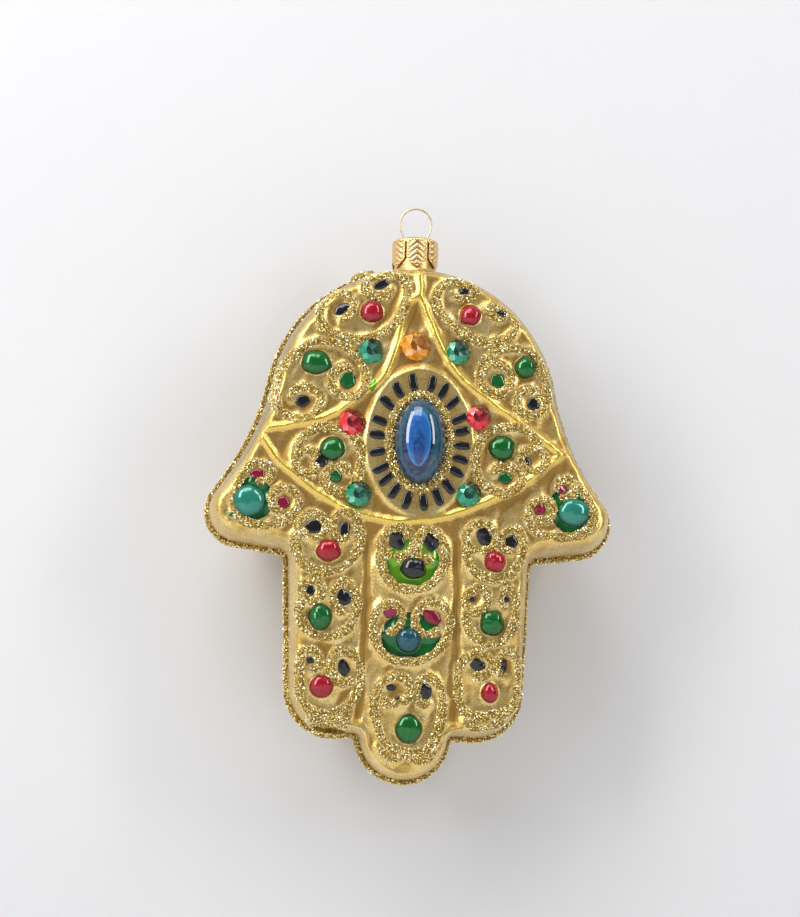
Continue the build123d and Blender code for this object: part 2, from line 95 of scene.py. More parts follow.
# the painted patches inside the curls: black, green and maroon, each with its half sizes and its lean
dots = {
    "enamel_black_dots": (
        ((-15.65, 11.03), (2.0, 1.15), 32), ((-7.83, 5.49), (1.75, 0.9), 22), ((9.44, 6.22), (1.3, 0.9), 0),
        ((17.36, 10.36), (1.5, 0.9), -20), ((-23.26, 30.66), (1.5, 1.25), 20),
        ((24.24, 29.26), (1.3, 1.3), 0), ((-19.09, 42.98), (1.4, 1.2), -30), ((22.93, 41.39), (1.2, 1.0), 0),
        ((-20.16, 56.48), (1.85, 1.4), -12), ((-13.94, 56.8), (1.15, 1.6), -8),
        ((-20.52, 69.42), (1.0, 1.2), 10), ((-13.51, 70.53), (1.55, 1.75), 15),
        ((-19.92, 83.39), (0.85, 0.6), -20), ((-13.08, 84.68), (1.15, 1.8), 18),
        ((-3.12, 58.65), (1.6, 1.95), 20), ((3.84, 58.65), (1.65, 2.0), 15),
        ((-3.31, 88.34), (1.1, 0.7), 0), ((3.65, 89.08), (1.3, 1.8), -14), ((-2.0, 90.4), (0.6, 0.4), 30),
        ((14.64, 57.13), (1.5, 1.95), 28), ((20.16, 58.0), (1.5, 1.5), 10),
        ((12.55, 69.89), (0.95, 0.55), 15), ((19.51, 69.7), (0.65, 0.85), 0),
        ((14.16, 83.2), (1.55, 1.3), -20), ((19.39, 83.39), (0.8, 1.9), -4),
    ),
    "enamel_green_dots": (
        ((-14.16, 25.97), (1.6, 1.85), -20), ((16.72, 24.75), (1.55, 1.5), 0),
        ((-16.08, 45.97), (1.3, 1.3), 0), ((18.67, 44.93), (1.5, 1.2), 0),
    ),
    "enamel_maroon_dots": (
        ((-31.96, 46.0), (1.5, 1.1), 0), ((-26.48, 51.68), (1.2, 1.4), 20), ((30.47, 46.75), (1.3, 1.0), 0),
        ((25.95, 51.04), (1.2, 1.3), 0), ((-3.96, 73.22), (1.5, 1.1), 25), ((4.51, 73.91), (2.0, 1.4), -28),
    ),
}
# the glitter lines of each motif, as they were drawn with the tube
strokes = {
    "top_left": (
        ((-16.1, 13.2), (-14.4, 12), (-13.7, 10.3), (-14.2, 8.3), (-15.8, 7.4), (-18, 8), (-19.8, 9.6),
         (-20.4, 11.9), (-20, 14.2), (-18.6, 15.7), (-16.7, 16.6), (-14.1, 17.1), (-11.3, 17.2), (-8.5,
         16.4), (-5.8, 14.6), (-3.9, 12.3), (-2.8, 9.4), (-2.5, 6.6), (-3.2, 4.3), (-5.2, 3.2), (-7.8,
         3.2), (-10, 3.9), (-11.2, 5.5), (-10.9, 7.2), (-9, 8), (-6.8, 7.7), (-5.6, 6.5)),
    ),
    "top_right": (
        ((7.4, 6.9), (8.9, 7.5), (10.9, 7), (11.7, 5.7), (10.3, 4.8), (7.7, 4.3), (5.7, 4.6), (4.2,
         5.9), (3.5, 7.8), (4, 9.9), (5.5, 12), (7.4, 13.6), (9.4, 15.2), (11.7, 16.3), (14.5, 16.8),
         (17.3, 16.2), (19.3, 14.9), (20.2, 13.1), (19.6, 11.6), (18, 10.5), (16.3, 9.5), (14.7, 9.2),
         (14.5, 10.4), (15.9, 11.3), (17.6, 11.8)),
    ),
    "mid_left": (
        ((-13.1, 24), (-15.1, 23.2), (-17, 24.1), (-17.7, 26.3), (-16.6, 28.6), (-13.9, 29.6), (-11.5,
         28.6), (-10.4, 25.9), (-11.1, 23), (-12.6, 20.8), (-14.6, 19.1), (-17.5, 18.1), (-20.3, 18),
         (-22.5, 18.8), (-24.4, 20.2), (-26.6, 22.3), (-27.9, 24.5), (-28.7, 27.1), (-29, 29.7), (-28.4,
         31.9), (-26.5, 33.8), (-24, 34.3), (-21.5, 33.7), (-19.9, 32), (-19.6, 29.7), (-21.1, 28.3),
         (-23.3, 27.8), (-25.3, 28.7), (-25.8, 30.4)),
    ),
    "mid_right": (
        ((19, 26.4), (17.1, 27.7), (14.7, 27.2), (13.1, 25.3), (13, 22.9), (14.6, 19.9), (16.7, 18.5),
         (19.2, 17.8), (21.6, 17.9), (23.9, 18.8), (25.4, 20.6), (26.3, 23.1), (26.9, 25.6), (26.9,
         28.4), (25.7, 30.7), (23.4, 31.8), (21.4, 30.9), (20.7, 29), (21.3, 27), (23.3, 26.2), (25,
         27.1), (25.3, 28.8)),
        ((13, 23.9), (14.4, 21.9), (16.3, 21.2), (18.3, 22), (19.5, 23.9), (19, 26.4)),
    ),
    "eye_left": (
        ((-20.2, 43.3), (-20.8, 45.6), (-23, 45.4), (-24.4, 43.4), (-24, 40.1), (-21.9, 37.2), (-18.1,
         35.8), (-14.1, 36.3), (-11.6, 38.9), (-11, 42.4), (-11.5, 45.5), (-12.3, 48.2), (-14.7, 49.2),
         (-17.4, 48.5), (-18.4, 46.5), (-17.2, 44.4), (-14.7, 43.9), (-12.9, 45.3)),
        ((-23.9, 42.1), (-22.8, 41), (-21, 41.1), (-20, 42.9)),
    ),
    "eye_right": (
        ((23, 42.5), (21.8, 40.4), (23.4, 38.7), (25.9, 39.2), (27, 41.3), (25.4, 43.2), (22.8, 42.8)),
        ((25.9, 39), (24.2, 36.1), (21.2, 34.5), (18.1, 34.5), (15.1, 35.7), (12.8, 38.6), (12.4, 41.9),
         (13, 44.9), (15.1, 47.2), (18.4, 48.2), (21.2, 46.9), (22, 44.5), (20.4, 42.8), (17.8, 42.4),
         (16, 44)),
    ),
    "thumb_left": (
        ((-32.4, 47.4), (-30, 47.2), (-29.2, 45.4), (-30.8, 43.8), (-33.2, 44.1), (-35.2, 46.9), (-36.4,
         50.6), (-35.7, 54.1), (-33.5, 56), (-30.3, 56.4), (-27.2, 55.8), (-24.6, 54.1), (-23.4, 51.3),
         (-24.7, 49.1), (-27.2, 48.7), (-28.9, 50.3), (-28.5, 52.7), (-26.2, 53.9)),
    ),
    "thumb_right": (
        ((29.6, 47.4), (29.8, 45.1), (32, 44.5), (33.3, 46.1), (32.3, 48.1), (29.9, 48.4)),
        ((32.3, 44.8), (34.7, 46.9), (36.4, 49.3), (37.2, 52), (36.1, 54.9), (33.1, 56.3), (29.4, 56.5),
         (26.1, 55.9), (24.1, 54), (23.7, 51.3), (25.3, 49.3), (27.9, 49.5), (29, 51.5), (27.5, 53.4),
         (25.2, 53.3)),
    ),
    "left_finger_1": (
        ((-21.2, 58.4), (-22.8, 57.4), (-23.1, 55.5), (-21.8, 54), (-19.8, 53.9), (-18.2, 55), (-17.8,
         56.7), (-18.9, 58.2), (-20.6, 58.6)),
        ((-23.2, 57.4), (-23.8, 59), (-23.4, 61.3), (-22.2, 63.6), (-20.4, 64.9), (-17.9, 65.5), (-15.2,
         65), (-12.9, 63.5), (-11.4, 61.4), (-10.7, 59.2), (-10.8, 56.9), (-11.9, 54.4), (-13.7, 53.2),
         (-15.5, 54), (-16.4, 55.7), (-15.9, 57.8), (-14.5, 58.7), (-12.7, 58.1)),
        ((-17.7, 55.4), (-17, 57.3)),
    ),
    "left_finger_2": (
        ((-20.4, 71.2), (-22, 70.1), (-21.8, 68.2), (-20.1, 67.3), (-18.4, 68.2), (-18.1, 70), (-19.4,
         71.4), (-20.9, 71.6)),
        ((-21.8, 70.7), (-22.5, 73.2), (-21.9, 75.7), (-20.5, 77.6), (-18.1, 78.6), (-15.6, 78.5),
         (-13.4, 77.4), (-11.9, 75.7), (-11, 73.5), (-10.8, 71.2), (-11.7, 68.9), (-13.2, 67.6), (-14.8,
         68), (-15.9, 69.7), (-15.5, 71.7), (-14.1, 73.3), (-12.4, 73.2)),
    ),
    "left_finger_3": (
        ((-19.7, 85.5), (-18.1, 84.4), (-18.5, 82.2), (-20.2, 81.3), (-21.8, 82.6), (-22, 86.2), (-21.6,
         90.2), (-20.1, 93), (-17.5, 94.1), (-14.5, 93.7), (-11.7, 92), (-9.9, 88.4), (-9.8, 84.2),
         (-11.8, 81.7), (-14.4, 81.7), (-15.8, 84), (-15.1, 86.6), (-12.9, 87.9), (-11, 86.9)),
        ((-20.3, 94.6), (-17.5, 95.9), (-14.2, 95.3), (-11.2, 94)),
        ((-18.8, 97.2), (-15.1, 98), (-11.9, 96.6)),
    ),
    "middle_finger_1": (
        ((-4, 61.9), (-5.9, 60.8), (-6.2, 58.5), (-4.7, 56.7), (-2.4, 56.1), (-0.4, 57), (0.4, 58.8),
         (-0.1, 60.7), (-1.8, 61.9), (-3.8, 61.9)),
        ((-6.3, 60.5), (-6.5, 62.6), (-5.7, 65.1), (-4.3, 67), (-2.2, 68.4), (0.3, 68.7), (3, 67.9),
         (5.2, 66.1), (6.7, 63.5), (7.1, 60.8), (6.1, 58.1), (4.2, 56.6), (2.3, 56.7), (1.1, 58.4),
         (1.2, 60.8), (2.3, 62.2), (4.5, 62.1)),
    ),
    "middle_finger_2": (
        ((-4.8, 77.2), (-3, 76.9), (-1.7, 75.3), (-1.7, 73.3), (-3.2, 71.8), (-5.4, 71.9), (-6.9, 73.3),
         (-7.4, 75.5), (-7.1, 77.9), (-6.2, 80.3), (-4.3, 82.2), (-1.5, 83.2), (1.6, 83.1), (4.2, 81.9),
         (6.5, 80), (7.8, 77.5), (8.3, 74.5), (7.3, 72.1), (5.2, 70.8), (2.8, 71.3), (1.3, 73.2), (1.1,
         75.4), (2.4, 77.2), (4.4, 77.4), (6.2, 76.3)),
    ),
    "middle_finger_3": (
        ((-1.6, 91.3), (0.3, 90), (0.4, 87.6), (-1.6, 86.1), (-4.2, 86.5), (-5.8, 88.3), (-6.7, 91.4),
         (-6, 95.4), (-4.4, 99), (-1.4, 101), (2.3, 101.2), (5.4, 99.5), (6.9, 95.8), (7.3, 91.8), (6.7,
         88.2), (4.8, 86.2), (2.7, 86.7), (1.8, 88.7), (2.5, 90.9), (4.5, 91.6)),
        ((-5.3, 90.6), (-3.9, 91.7), (-1.6, 91.3)),
        ((-5.4, 100.7), (-2.6, 102.7), (0, 101.7), (3.2, 102.7), (6.4, 100.9)),
    ),
    "right_finger_1": (
        ((13.5, 60.2), (11.6, 59.1), (10.9, 56.9), (12.1, 55.1), (14.4, 54.5), (16.4, 55.7), (17, 57.8),
         (16.1, 59.7), (13.9, 60.2)),
        ((11, 58.6), (11.2, 60.9), (11.9, 62.7), (12.9, 64.1), (14.7, 65.3), (16.9, 65.9), (19.1, 65.5),
         (21.1, 63.7), (22.3, 61.4), (22.7, 59), (22.4, 56.7), (21.2, 55.5), (19.3, 55.6), (18.3, 57.1),
         (18.9, 59.1), (20.6, 60)),
    ),
    "right_finger_2": (
        ((12.3, 72.6), (11.4, 70.4), (12.2, 68.4), (14.1, 67.7), (15.6, 69), (15.5, 71.1), (13.9, 72.5),
         (12.1, 72.3)),
        ((11.6, 72.2), (11.3, 74), (12, 75.7), (13.2, 77.3), (15.1, 78.6), (17.4, 78.8), (19.6, 77.9),
         (21, 75.9), (21.5, 73.4), (21.7, 70.9), (21.5, 68.9), (20.3, 67.8), (18.9, 68.3), (18.6, 70.1),
         (19.4, 71.9)),
    ),
    "right_finger_3": (
        ((13, 85.6), (16, 85), (16.9, 82.5), (14.8, 81), (11.9, 81.7), (10.5, 84.2), (10.3, 87.8),
         (11.1, 91.7), (13.9, 93.6), (17.2, 93.2), (20.5, 92.5), (22.3, 90), (22.8, 86.2), (22.5, 82.3),
         (20.8, 80.6), (18.8, 81.3), (18.4, 83.9), (20, 85.7)),
        ((11.5, 94.5), (14.4, 95.7), (17.3, 95.3), (20.3, 94.6)),
    ),
    "seam_top": (
        ((-13.3, 3.1), (-11.7, 2.3), (-9.8, 1.7), (-8.1, 2)),
    ),
}


def facePlace(place):
    return np.array((place[0], handSizes["handTop"] - place[1]))


def smoothLine(points, spacing=0.4):  # a Catmull-Rom line through the points, evenly spaced
    points = np.asarray(points, float)
    padded = np.vstack((2 * points[0] - points[1], points, 2 * points[-1] - points[-2]))
    pieces = []
    for i in range(1, len(padded) - 2):
        a, b, c, d = padded[i - 1:i + 3]
        t = np.linspace(0, 1, 24, endpoint=False)[:, None]
        pieces.append(0.5 * (2 * b + (c - a) * t + (2 * a - 5 * b + 4 * c - d) * t**2
                             + (3 * b - a - 3 * c + d) * t**3))
    return evenSteps(np.vstack(pieces + [points[-1:]]), spacing)


def evenSteps(line, spacing):  # the same line with its points evenly spaced
    runs = np.r_[0, np.cumsum(np.linalg.norm(np.diff(line, axis=0), axis=1))]
    count = max(2, int(round(runs[-1] / spacing)) + 1)
    at = np.linspace(0, runs[-1], count)
    return np.column_stack([np.interp(at, runs, line[:, i]) for i in range(line.shape[1])])


def lineDistance(places, line, closed=False):  # the distance of each place to a line of points
    ends = np.roll(line, -1, axis=0) if closed else line[1:]
    starts = line if closed else line[:-1]
    run = ends - starts
    length2 = np.maximum((run**2).sum(1), 1e-12)
    best = np.full(len(places), np.inf)
    for low in range(0, len(places), 2000):
        part = places[low:low + 2000]
        offset = part[:, None, :] - starts[None]
        t = np.clip((offset * run[None]).sum(2) / length2[None], 0, 1)
        gap = offset - t[:, :, None] * run[None]
        best[low:low + 2000] = np.sqrt((gap**2).sum(2).min(1))
    return best


def roundCorner(before, corner, after, radius):  # the points of a fillet at a corner
    a, b = before - corner, after - corner
    a, b = a / np.linalg.norm(a), b / np.linalg.norm(b)
    half = math.acos(np.clip(a @ b, -1, 1)) / 2
    reach = radius / math.tan(half)
    middle = corner + (a + b) / np.linalg.norm(a + b) * radius / math.sin(half)
    first, last = corner + a * reach - middle, corner + b * reach - middle
    sweep = math.atan2(first[0] * last[1] - first[1] * last[0], first @ last)
    turns = np.linspace(0, sweep, max(6, int(abs(sweep) * radius / 0.2)))
    return [middle + (first[0] * math.cos(t) - first[1] * math.sin(t),
                      first[0] * math.sin(t) + first[1] * math.cos(t)) for t in turns]


def handOutline(spacing=0.55):  # the closed outline of the hand, clockwise from the top of its dome
    s = handSizes
    start, heading = math.radians(s["domeEnd"]), math.radians(s["flareAngle"])
    line = [np.array((math.cos(a), math.sin(a))) * s["domeRadius"] - (0, s["domeRadius"])
            for a in np.linspace(math.pi / 2, start, 90)]
    flare = [line[-1] + s["flareRadius"] * np.array((math.cos(start) - math.cos(a),
                                                    math.sin(start) - math.sin(a)))
             for a in np.linspace(start, heading, 40)]
    line += flare[1:]
    lean = math.radians(s["tipLean"])
    tip = np.array((0, s["tipRadius"] - s["handHeight"]))
    leanEnd = tip + s["tipRadius"] * np.array((math.cos(lean), -math.sin(lean)))
    notch = leanEnd + s["notchRun"] * np.array((math.sin(lean), math.cos(lean)))
    turn = math.radians(90 + s["flareAngle"] - s["thumbSlope"])
    reach = s["flareStraight"] + s["thumbRadius"] * math.tan(turn / 2)
    thumb = line[-1] + reach * np.array((math.sin(heading), -math.cos(heading)))
    drop = (thumb[0] - s["palmHalf"]) * math.tan(math.radians(s["thumbSlope"]))
    corner = np.array((s["palmHalf"], thumb[1] - drop))
    foot = np.array((s["fingerHalf"], notch[1] - s["fingerSag"]))
    stops = [line[-1], thumb, corner, foot, notch, leanEnd]
    radii = (s["thumbRadius"], s["thumbCorner"], s["fingerCorner"], s["notchRadius"])
    for i, radius in enumerate(radii):
        line += roundCorner(stops[i], stops[i + 1], stops[i + 2], radius)
    line += [tip + s["tipRadius"] * np.array((math.cos(a), -math.sin(a)))
             for a in np.linspace(lean, math.pi / 2, 30)]
    half = evenSteps(np.array(line), spacing)
    whole = np.vstack((half, (half * (-1, 1))[-2:0:-1]))
    return whole + (0, s["handTop"])


def isInside(places, line):  # even-odd test against a closed line
    x, z = places[:, 0], places[:, 1]
    inside = np.zeros(len(places), bool)
    ends = np.roll(line, -1, axis=0)
    for (ax, az), (bx, bz) in zip(line, ends):
        if az != bz:
            crosses = (az > z) != (bz > z)
            inside ^= crosses & (x < (bx - ax) * (z - az) / (bz - az) + ax)
    return inside


def outwardWays(line):  # the outward direction at each point of the closed outline
    run = np.roll(line, -1, axis=0) - np.roll(line, 1, axis=0)
    run /= np.linalg.norm(run, axis=1)[:, None]
    ways = np.column_stack((-run[:, 1], run[:, 0]))
    return -ways if isInside(line[:1] + ways[:1] * 0.2, line)[0] else ways


def softMin(a, b, blend):
    h = np.clip(blend - np.abs(a - b), 0, None) / blend
    return np.minimum(a, b) - h**2 * blend / 4


def smoothStep(low, high, value):
    t = np.clip((value - low) / (high - low), 0, 1)
    return t * t * (3 - 2 * t)


def softWaves(places, length, seed):  # an uneven swell between about -1 and 1
    draw = np.random.default_rng(seed)
    total = np.zeros(len(places))
    for turn, phase, stretch in zip(*draw.uniform((0, 0, 0.6), (6.283, 6.283, 1.5), (9, 3)).T):
        way = np.array((math.cos(turn), math.sin(turn))) * 2 * math.pi / (length * stretch)
        total += np.sin(places @ way + phase)
    return total / 3.6


def crownDepth(places):  # how far the crowned face stands in front of the seam
    eye = facePlace(eyePlace)
    radius = handSizes["faceRadius"]
    return np.sqrt(radius**2 - ((places - eye)**2).sum(1)) - radius + handSizes["faceDepth"]


def rollDepth(inset):
    s = handSizes
    share = np.clip(inset / s["sideInset"], 0, 1)
    return s["sideDepth"] * (1 - (1 - share)**s["sidePower"])**(1 / s["sidePower"])


def rollInset(depth):
    s = handSizes
    return s["sideInset"] * (1 - (1 - (depth / s["sideDepth"])**s["sidePower"])**(1 / s["sidePower"]))


seamLine = handOutline()
seamWays = outwardWays(seamLine)
outline = seamLine - seamWays * handSizes["ropeShare"]  # the glass starts a little inside the seam's rope
outlineWays = outwardWays(outline)
ridgeLines = [smoothLine([facePlace(p) for p in ridge]) for ridge in ridgePoints]
grooveLines = [smoothLine([facePlace(p) for p in groove]) for groove in groovePoints]
strokeLines = {name: [smoothLine([facePlace(p) for p in line], 0.32) for line in lines]
               for name, lines in strokes.items()}

glassLooks = {
    "ringDepths": (0, 0.6, 1.3, 2.1, 3.0, 4.0, 5.0, 6.0, 7.0, 8.0, 8.9, 9.7, 10.4, 11.0),
    "frontSpacing": 0.46, "backSpacing": 0.62, "edgeBlend": 1.6, "backShare": 0.8,
    "ridgeRise": 0.72, "ridgeReach": 1.3, "footRise": 0.2, "footReach": 3.4,
    "grooveDepth": 0.42, "grooveReach": 1.05, "valleyDepth": 0.8, "valleyReach": 6.5, "lineRise": 0.12,
    "bedRise": 0.38, "bedReach": 2.15, "moundRise": 0.8, "moundHalf": (10.7, 14.95), "rimRise": 0.17,
    "swellRise": 0.24, "swellLength": 11.0, "rippleRise": 0.1, "rippleLength": 3.0, "bossRise": 1.2,
    "recessReach": 5, "recessDepth": 0.26, "clearShare": 0.55, "rowShare": 0.866,
    "swellSeed": 4, "rippleSeed": 9, "rippleStretch": (1, 0.5), "bossReach": 0.92, "bossPower": 0.8,
    "driftReach": 0.75, "driftLength": 14.0, "driftSeed": 31, "secondGroove": 0.5,
    "moundEdge": (0.985, 1.12), "rimAt": 1.02, "rimWidth": 0.055,
    "eyeShade": 0.45, "eyeShadeStart": (0.60, 0.72), "eyeShadeEnd": (0.88, 0.99),
    "lineInset": 2.5, "lineWidth": 0.4, "linePaint": 0.45, "linePaintWidth": 0.45,
    "reliefInset": (0.6, 2.6), "ridgeInset": (-0.4, 0.8), "sideInset": (0.9, 2.3), "sideHeight": (-80, -45),
}
gridLooks = {"spacing": 0.3, "left": -46.2, "bottom": -123.0, "columns": 309, "rows": 376}
meshSpan = {"left": -45, "right": 45, "bottom": -122, "top": -12}


def liftAlong(places, lines, reach):  # one on the lines, falling softly to nothing at the reach
    lift = np.zeros(len(places))
    for line in lines:
        near = np.flatnonzero(((places > line.min(0) - reach) & (places < line.max(0) + reach)).all(1))
        if len(near):
            gap = lineDistance(places[near], line)
            lift[near] = np.maximum(lift[near], 0.5 + 0.5 * np.cos(np.pi * np.clip(gap / reach, 0, 1)))
    return lift


def eyeOval(places):  # one on the edge of the mound that carries the eye
    return np.linalg.norm((places - facePlace(eyePlace)) / glassLooks["moundHalf"], axis=1)


def blurred(grid, reach):  # a soft blur over so many cells
    for axis in (0, 1, 0, 1):
        grid = sum(np.roll(grid, shift, axis) for shift in range(-reach, reach + 1)) / (2 * reach + 1)
    return grid


def mouldedRelief():  # grids of the height of the moulded relief, of the ridges, and of the painted shade for the recesses and for a ring inside the eye's mound
    look, g = glassLooks, gridLooks
    x = g["left"] + g["spacing"] * np.arange(g["columns"])
    z = g["bottom"] + g["spacing"] * np.arange(g["rows"])
    places = np.stack(np.meshgrid(x, z), axis=2).reshape(-1, 2)
    ridge = liftAlong(places, ridgeLines, look["ridgeReach"])
    bedLines = [line for name, lines in strokeLines.items() if name != "seam_top" for line in lines]
    sway = look["driftReach"] * softWaves(places, look["driftLength"], look["driftSeed"])
    drift = np.column_stack((sway, np.zeros(len(places))))
    oval = eyeOval(places)
    mound = 1 - smoothStep(*look["moundEdge"], oval)
    height = (look["bedRise"] * liftAlong(places, bedLines, look["bedReach"])
              + look["footRise"] * liftAlong(places, ridgeLines, look["footReach"])
              - look["valleyDepth"] * liftAlong(places, grooveLines, look["valleyReach"])
              - look["grooveDepth"] * liftAlong(places + drift, grooveLines, look["grooveReach"])
              - look["secondGroove"] * look["grooveDepth"]
              * liftAlong(places - drift, grooveLines, look["grooveReach"]))
    height += look["swellRise"] * softWaves(places, look["swellLength"], look["swellSeed"])
    height += look["rippleRise"] * softWaves(places * look["rippleStretch"], look["rippleLength"],
                                             look["rippleSeed"])
    height = height * (1 - mound) + look["moundRise"] * mound
    rim = np.exp(-((oval - look["rimAt"]) / look["rimWidth"])**2)
    height += look["rimRise"] * rim + look["ridgeRise"] * ridge * (1 - mound)
    shape = (g["rows"], g["columns"])
    # painted shade: the third grid grows where the relief lies below its blurred surroundings, and in a ring
    # inside the eye's mound
    around = blurred(height.reshape(shape), look["recessReach"])
    recess = (around - height.reshape(shape)) / look["recessDepth"]
    shade = smoothStep(*look["eyeShadeStart"], oval) - smoothStep(*look["eyeShadeEnd"], oval)
    recess += look["eyeShade"] * shade.reshape(shape)
    for place, half, color in bosses.values():
        share = np.clip(1 - (((places - facePlace(place)) / half)**2).sum(1) / look["bossReach"], 0, 1)
        height += look["bossRise"] * share**look["bossPower"]
    return height.reshape(shape), ridge.reshape(shape), recess


reliefGrid, ridgeGrid, recessShadeGrid = mouldedRelief()


def sampleGrid(grid, places):  # the grid's value at each place, blended between its cells
    g = gridLooks
    u = np.clip((places[:, 0] - g["left"]) / g["spacing"], 0, g["columns"] - 1.001)
    v = np.clip((places[:, 1] - g["bottom"]) / g["spacing"], 0, g["rows"] - 1.001)
    i, j = v.astype(int), u.astype(int)
    v, u = v - i, u - j
    return ((grid[i, j] * (1 - u) + grid[i, j + 1] * u) * (1 - v)
            + (grid[i + 1, j] * (1 - u) + grid[i + 1, j + 1] * u) * v)


def glassDepth(places, inset=None, share=1.0):  # how far the finished glass stands in front of the seam
    if inset is None:
        inset = lineDistance(places, outline, closed=True)
    look = glassLooks
    base = softMin(rollDepth(inset), crownDepth(places), look["edgeBlend"])
    line = look["lineRise"] * np.exp(-((inset - look["lineInset"]) / look["lineWidth"])**2)
    return base + line + share * sampleGrid(reliefGrid, places) * smoothStep(*look["reliefInset"], inset)


def newShape(verts=(), faces=(), share=()):
    return {"verts": list(verts), "faces": list(faces), "crust": [], "share": list(share)}


def addRings(shape, rings, joined=False, crust=None, share=None):  # skins a run of equal rings of points
    rings = np.asarray(rings, float)
    first = len(shape["verts"])
    count, turns = rings.shape[:2]
    shape["verts"].extend(rings.reshape(-1, 3))
    shape["share"].extend(np.repeat(share if share is not None else np.zeros(count), turns))
    for i in range(count if joined else count - 1):
        low, high = first + i * turns, first + (i + 1) % count * turns
        for j in range(turns):
            k = (j + 1) % turns
            shape["faces"].append((low + j, low + k, high + k, high + j))
            shape["crust"].append(crust is None or bool(crust[j]))
    if not joined:
        for start, ring in ((first, rings[0]), (first + (count - 1) * turns, rings[-1])):
            tip = len(shape["verts"])
            shape["verts"].append(ring.mean(0))
            shape["share"].append(shape["share"][start])
            for j in range(turns):
                shape["faces"].append((start + j, start + (j + 1) % turns, tip))
                shape["crust"].append(False)


def shapeObject(name, shape, smooth=True, closed=True):  # millimetres in, one finished object out
    mesh = bpy.data.meshes.new(name)
    mesh.from_pydata([tuple(v) for v in np.asarray(shape["verts"]) * toMetres], [], shape["faces"])
    if len(shape["crust"]) == len(mesh.polygons):
        mesh.attributes.new("crust", "BOOLEAN", "FACE").data.foreach_set("value", shape["crust"])
    if len(shape["share"]) == len(mesh.vertices):
        share = mesh.attributes.new("share", "FLOAT", "POINT")
        share.data.foreach_set("value", np.array(shape["share"], float))
    if closed:
        work = bmesh.new()
        work.from_mesh(mesh)
        bmesh.ops.recalc_face_normals(work, faces=work.faces)
        work.to_mesh(mesh)
        work.free()
    mesh.polygons.foreach_set("use_smooth", [smooth] * len(mesh.polygons))
    obj = bpy.data.objects.new(name, mesh)
    bpy.context.scene.collection.objects.link(obj)
    return obj


def finishPiece(obj, material, body, slot, *replaced):
    obj.data.materials.clear()
    obj.data.materials.append(material)
    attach(obj, body)
    if replaced:
        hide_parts(*replaced)


def bakeModifiers(obj):  # turns what the modifiers make into the object's own plain mesh
    graph = bpy.context.evaluated_depsgraph_get()
    mesh = bpy.data.meshes.new_from_object(obj.evaluated_get(graph), preserve_all_data_layers=True,
                                           depsgraph=graph)
    obj.modifiers.clear()
    obj.data = mesh


# Materials. Colours are linear; patterns read the piece's own place or its own attributes.
def makeSpeckleGroup():  # a fine uneven speckle, used by every lacquer and metal here
    group = bpy.data.node_groups.new("fineSpeckle", "ShaderNodeTree")
    for name, value in (("Grains Per Metre", 2000.0), ("Low", 0.35), ("High", 0.65)):
        group.interface.new_socket(name, in_out="INPUT", socket_type="NodeSocketFloat").default_value = value
    group.interface.new_socket("Mask", in_out="OUTPUT", socket_type="NodeSocketFloat")
    inputs, output = group.nodes.new("NodeGroupInput"), group.nodes.new("NodeGroupOutput")
    place, noise = group.nodes.new("ShaderNodeTexCoord"), group.nodes.new("ShaderNodeTexNoise")
    noise.inputs["Detail"].default_value = 3.0
    noise.inputs["Roughness"].default_value = 0.6
    spread = group.nodes.new("ShaderNodeMapRange")
    group.links.new(place.outputs["Object"], noise.inputs["Vector"])
    group.links.new(inputs.outputs["Grains Per Metre"], noise.inputs["Scale"])
    group.links.new(noise.outputs["Fac"], spread.inputs["Value"])
    group.links.new(inputs.outputs["Low"], spread.inputs["From Min"])
    group.links.new(inputs.outputs["High"], spread.inputs["From Max"])
    group.links.new(spread.outputs["Result"], output.inputs["Mask"])
    return group


speckleGroup = makeSpeckleGroup()


socketNames = {"rough": "Roughness", "metal": "Metallic", "coat": "Coat Weight",
               "coatRough": "Coat Roughness", "specular": "Specular IOR Level"}


def newMaterial(name, **values):  # a Principled material with plain values on its own sockets
    material = bpy.data.materials.new(name)
    material.use_nodes = True
    shader = material.node_tree.nodes["Principled BSDF"]
    for key, value in values.items():
        shader.inputs[socketNames[key]].default_value = value
    return material, material.node_tree, shader


def speckle(tree, grains, low=0.35, high=0.65):
    node = tree.nodes.new("ShaderNodeGroup")
    node.node_tree = speckleGroup
    node.inputs["Grains Per Metre"].default_value = grains
    node.inputs["Low"].default_value = low
    node.inputs["High"].default_value = high
    return node.outputs["Mask"]


def attribute(tree, name, output="Fac"):
    node = tree.nodes.new("ShaderNodeAttribute")
    node.attribute_name = name
    return node.outputs[output]


def plug(tree, value, socket):  # a number, a colour or another node's output into a socket
    if hasattr(value, "is_linked"):
        tree.links.new(value, socket)
    else:
        socket.default_value = (*value, 1) if isinstance(value, tuple) else value


def mixColor(tree, share, a, b):
    node = tree.nodes.new("ShaderNodeMix")
    node.data_type = "RGBA"
    for value, socket in ((share, node.inputs[0]), (a, node.inputs[6]), (b, node.inputs[7])):
        plug(tree, value, socket)
    return node.outputs[2]


def calculate(tree, kind, a, b, clamp=False):
    node = tree.nodes.new("ShaderNodeMath")
    node.operation = kind
    node.use_clamp = clamp
    plug(tree, a, node.inputs[0])
    plug(tree, b, node.inputs[1])
    return node.outputs[0]


def spread(tree, value, low, high, first=0.0, last=1.0):
    node = tree.nodes.new("ShaderNodeMapRange")
    plug(tree, value, node.inputs["Value"])
    for name, number in (("From Min", low), ("From Max", high), ("To Min", first), ("To Max", last)):
        node.inputs[name].default_value = number
    return node.outputs["Result"]


def ramp(tree, value, stops):
    node = tree.nodes.new("ShaderNodeValToRGB")
    tree.links.new(value, node.inputs["Fac"])
    points = node.color_ramp.elements
    while len(points) < len(stops):
        points.new(0.5)
    for point, (place, color) in zip(points, stops):
        point.position = place
        point.color = (*color, 1)
    return node.outputs["Color"]


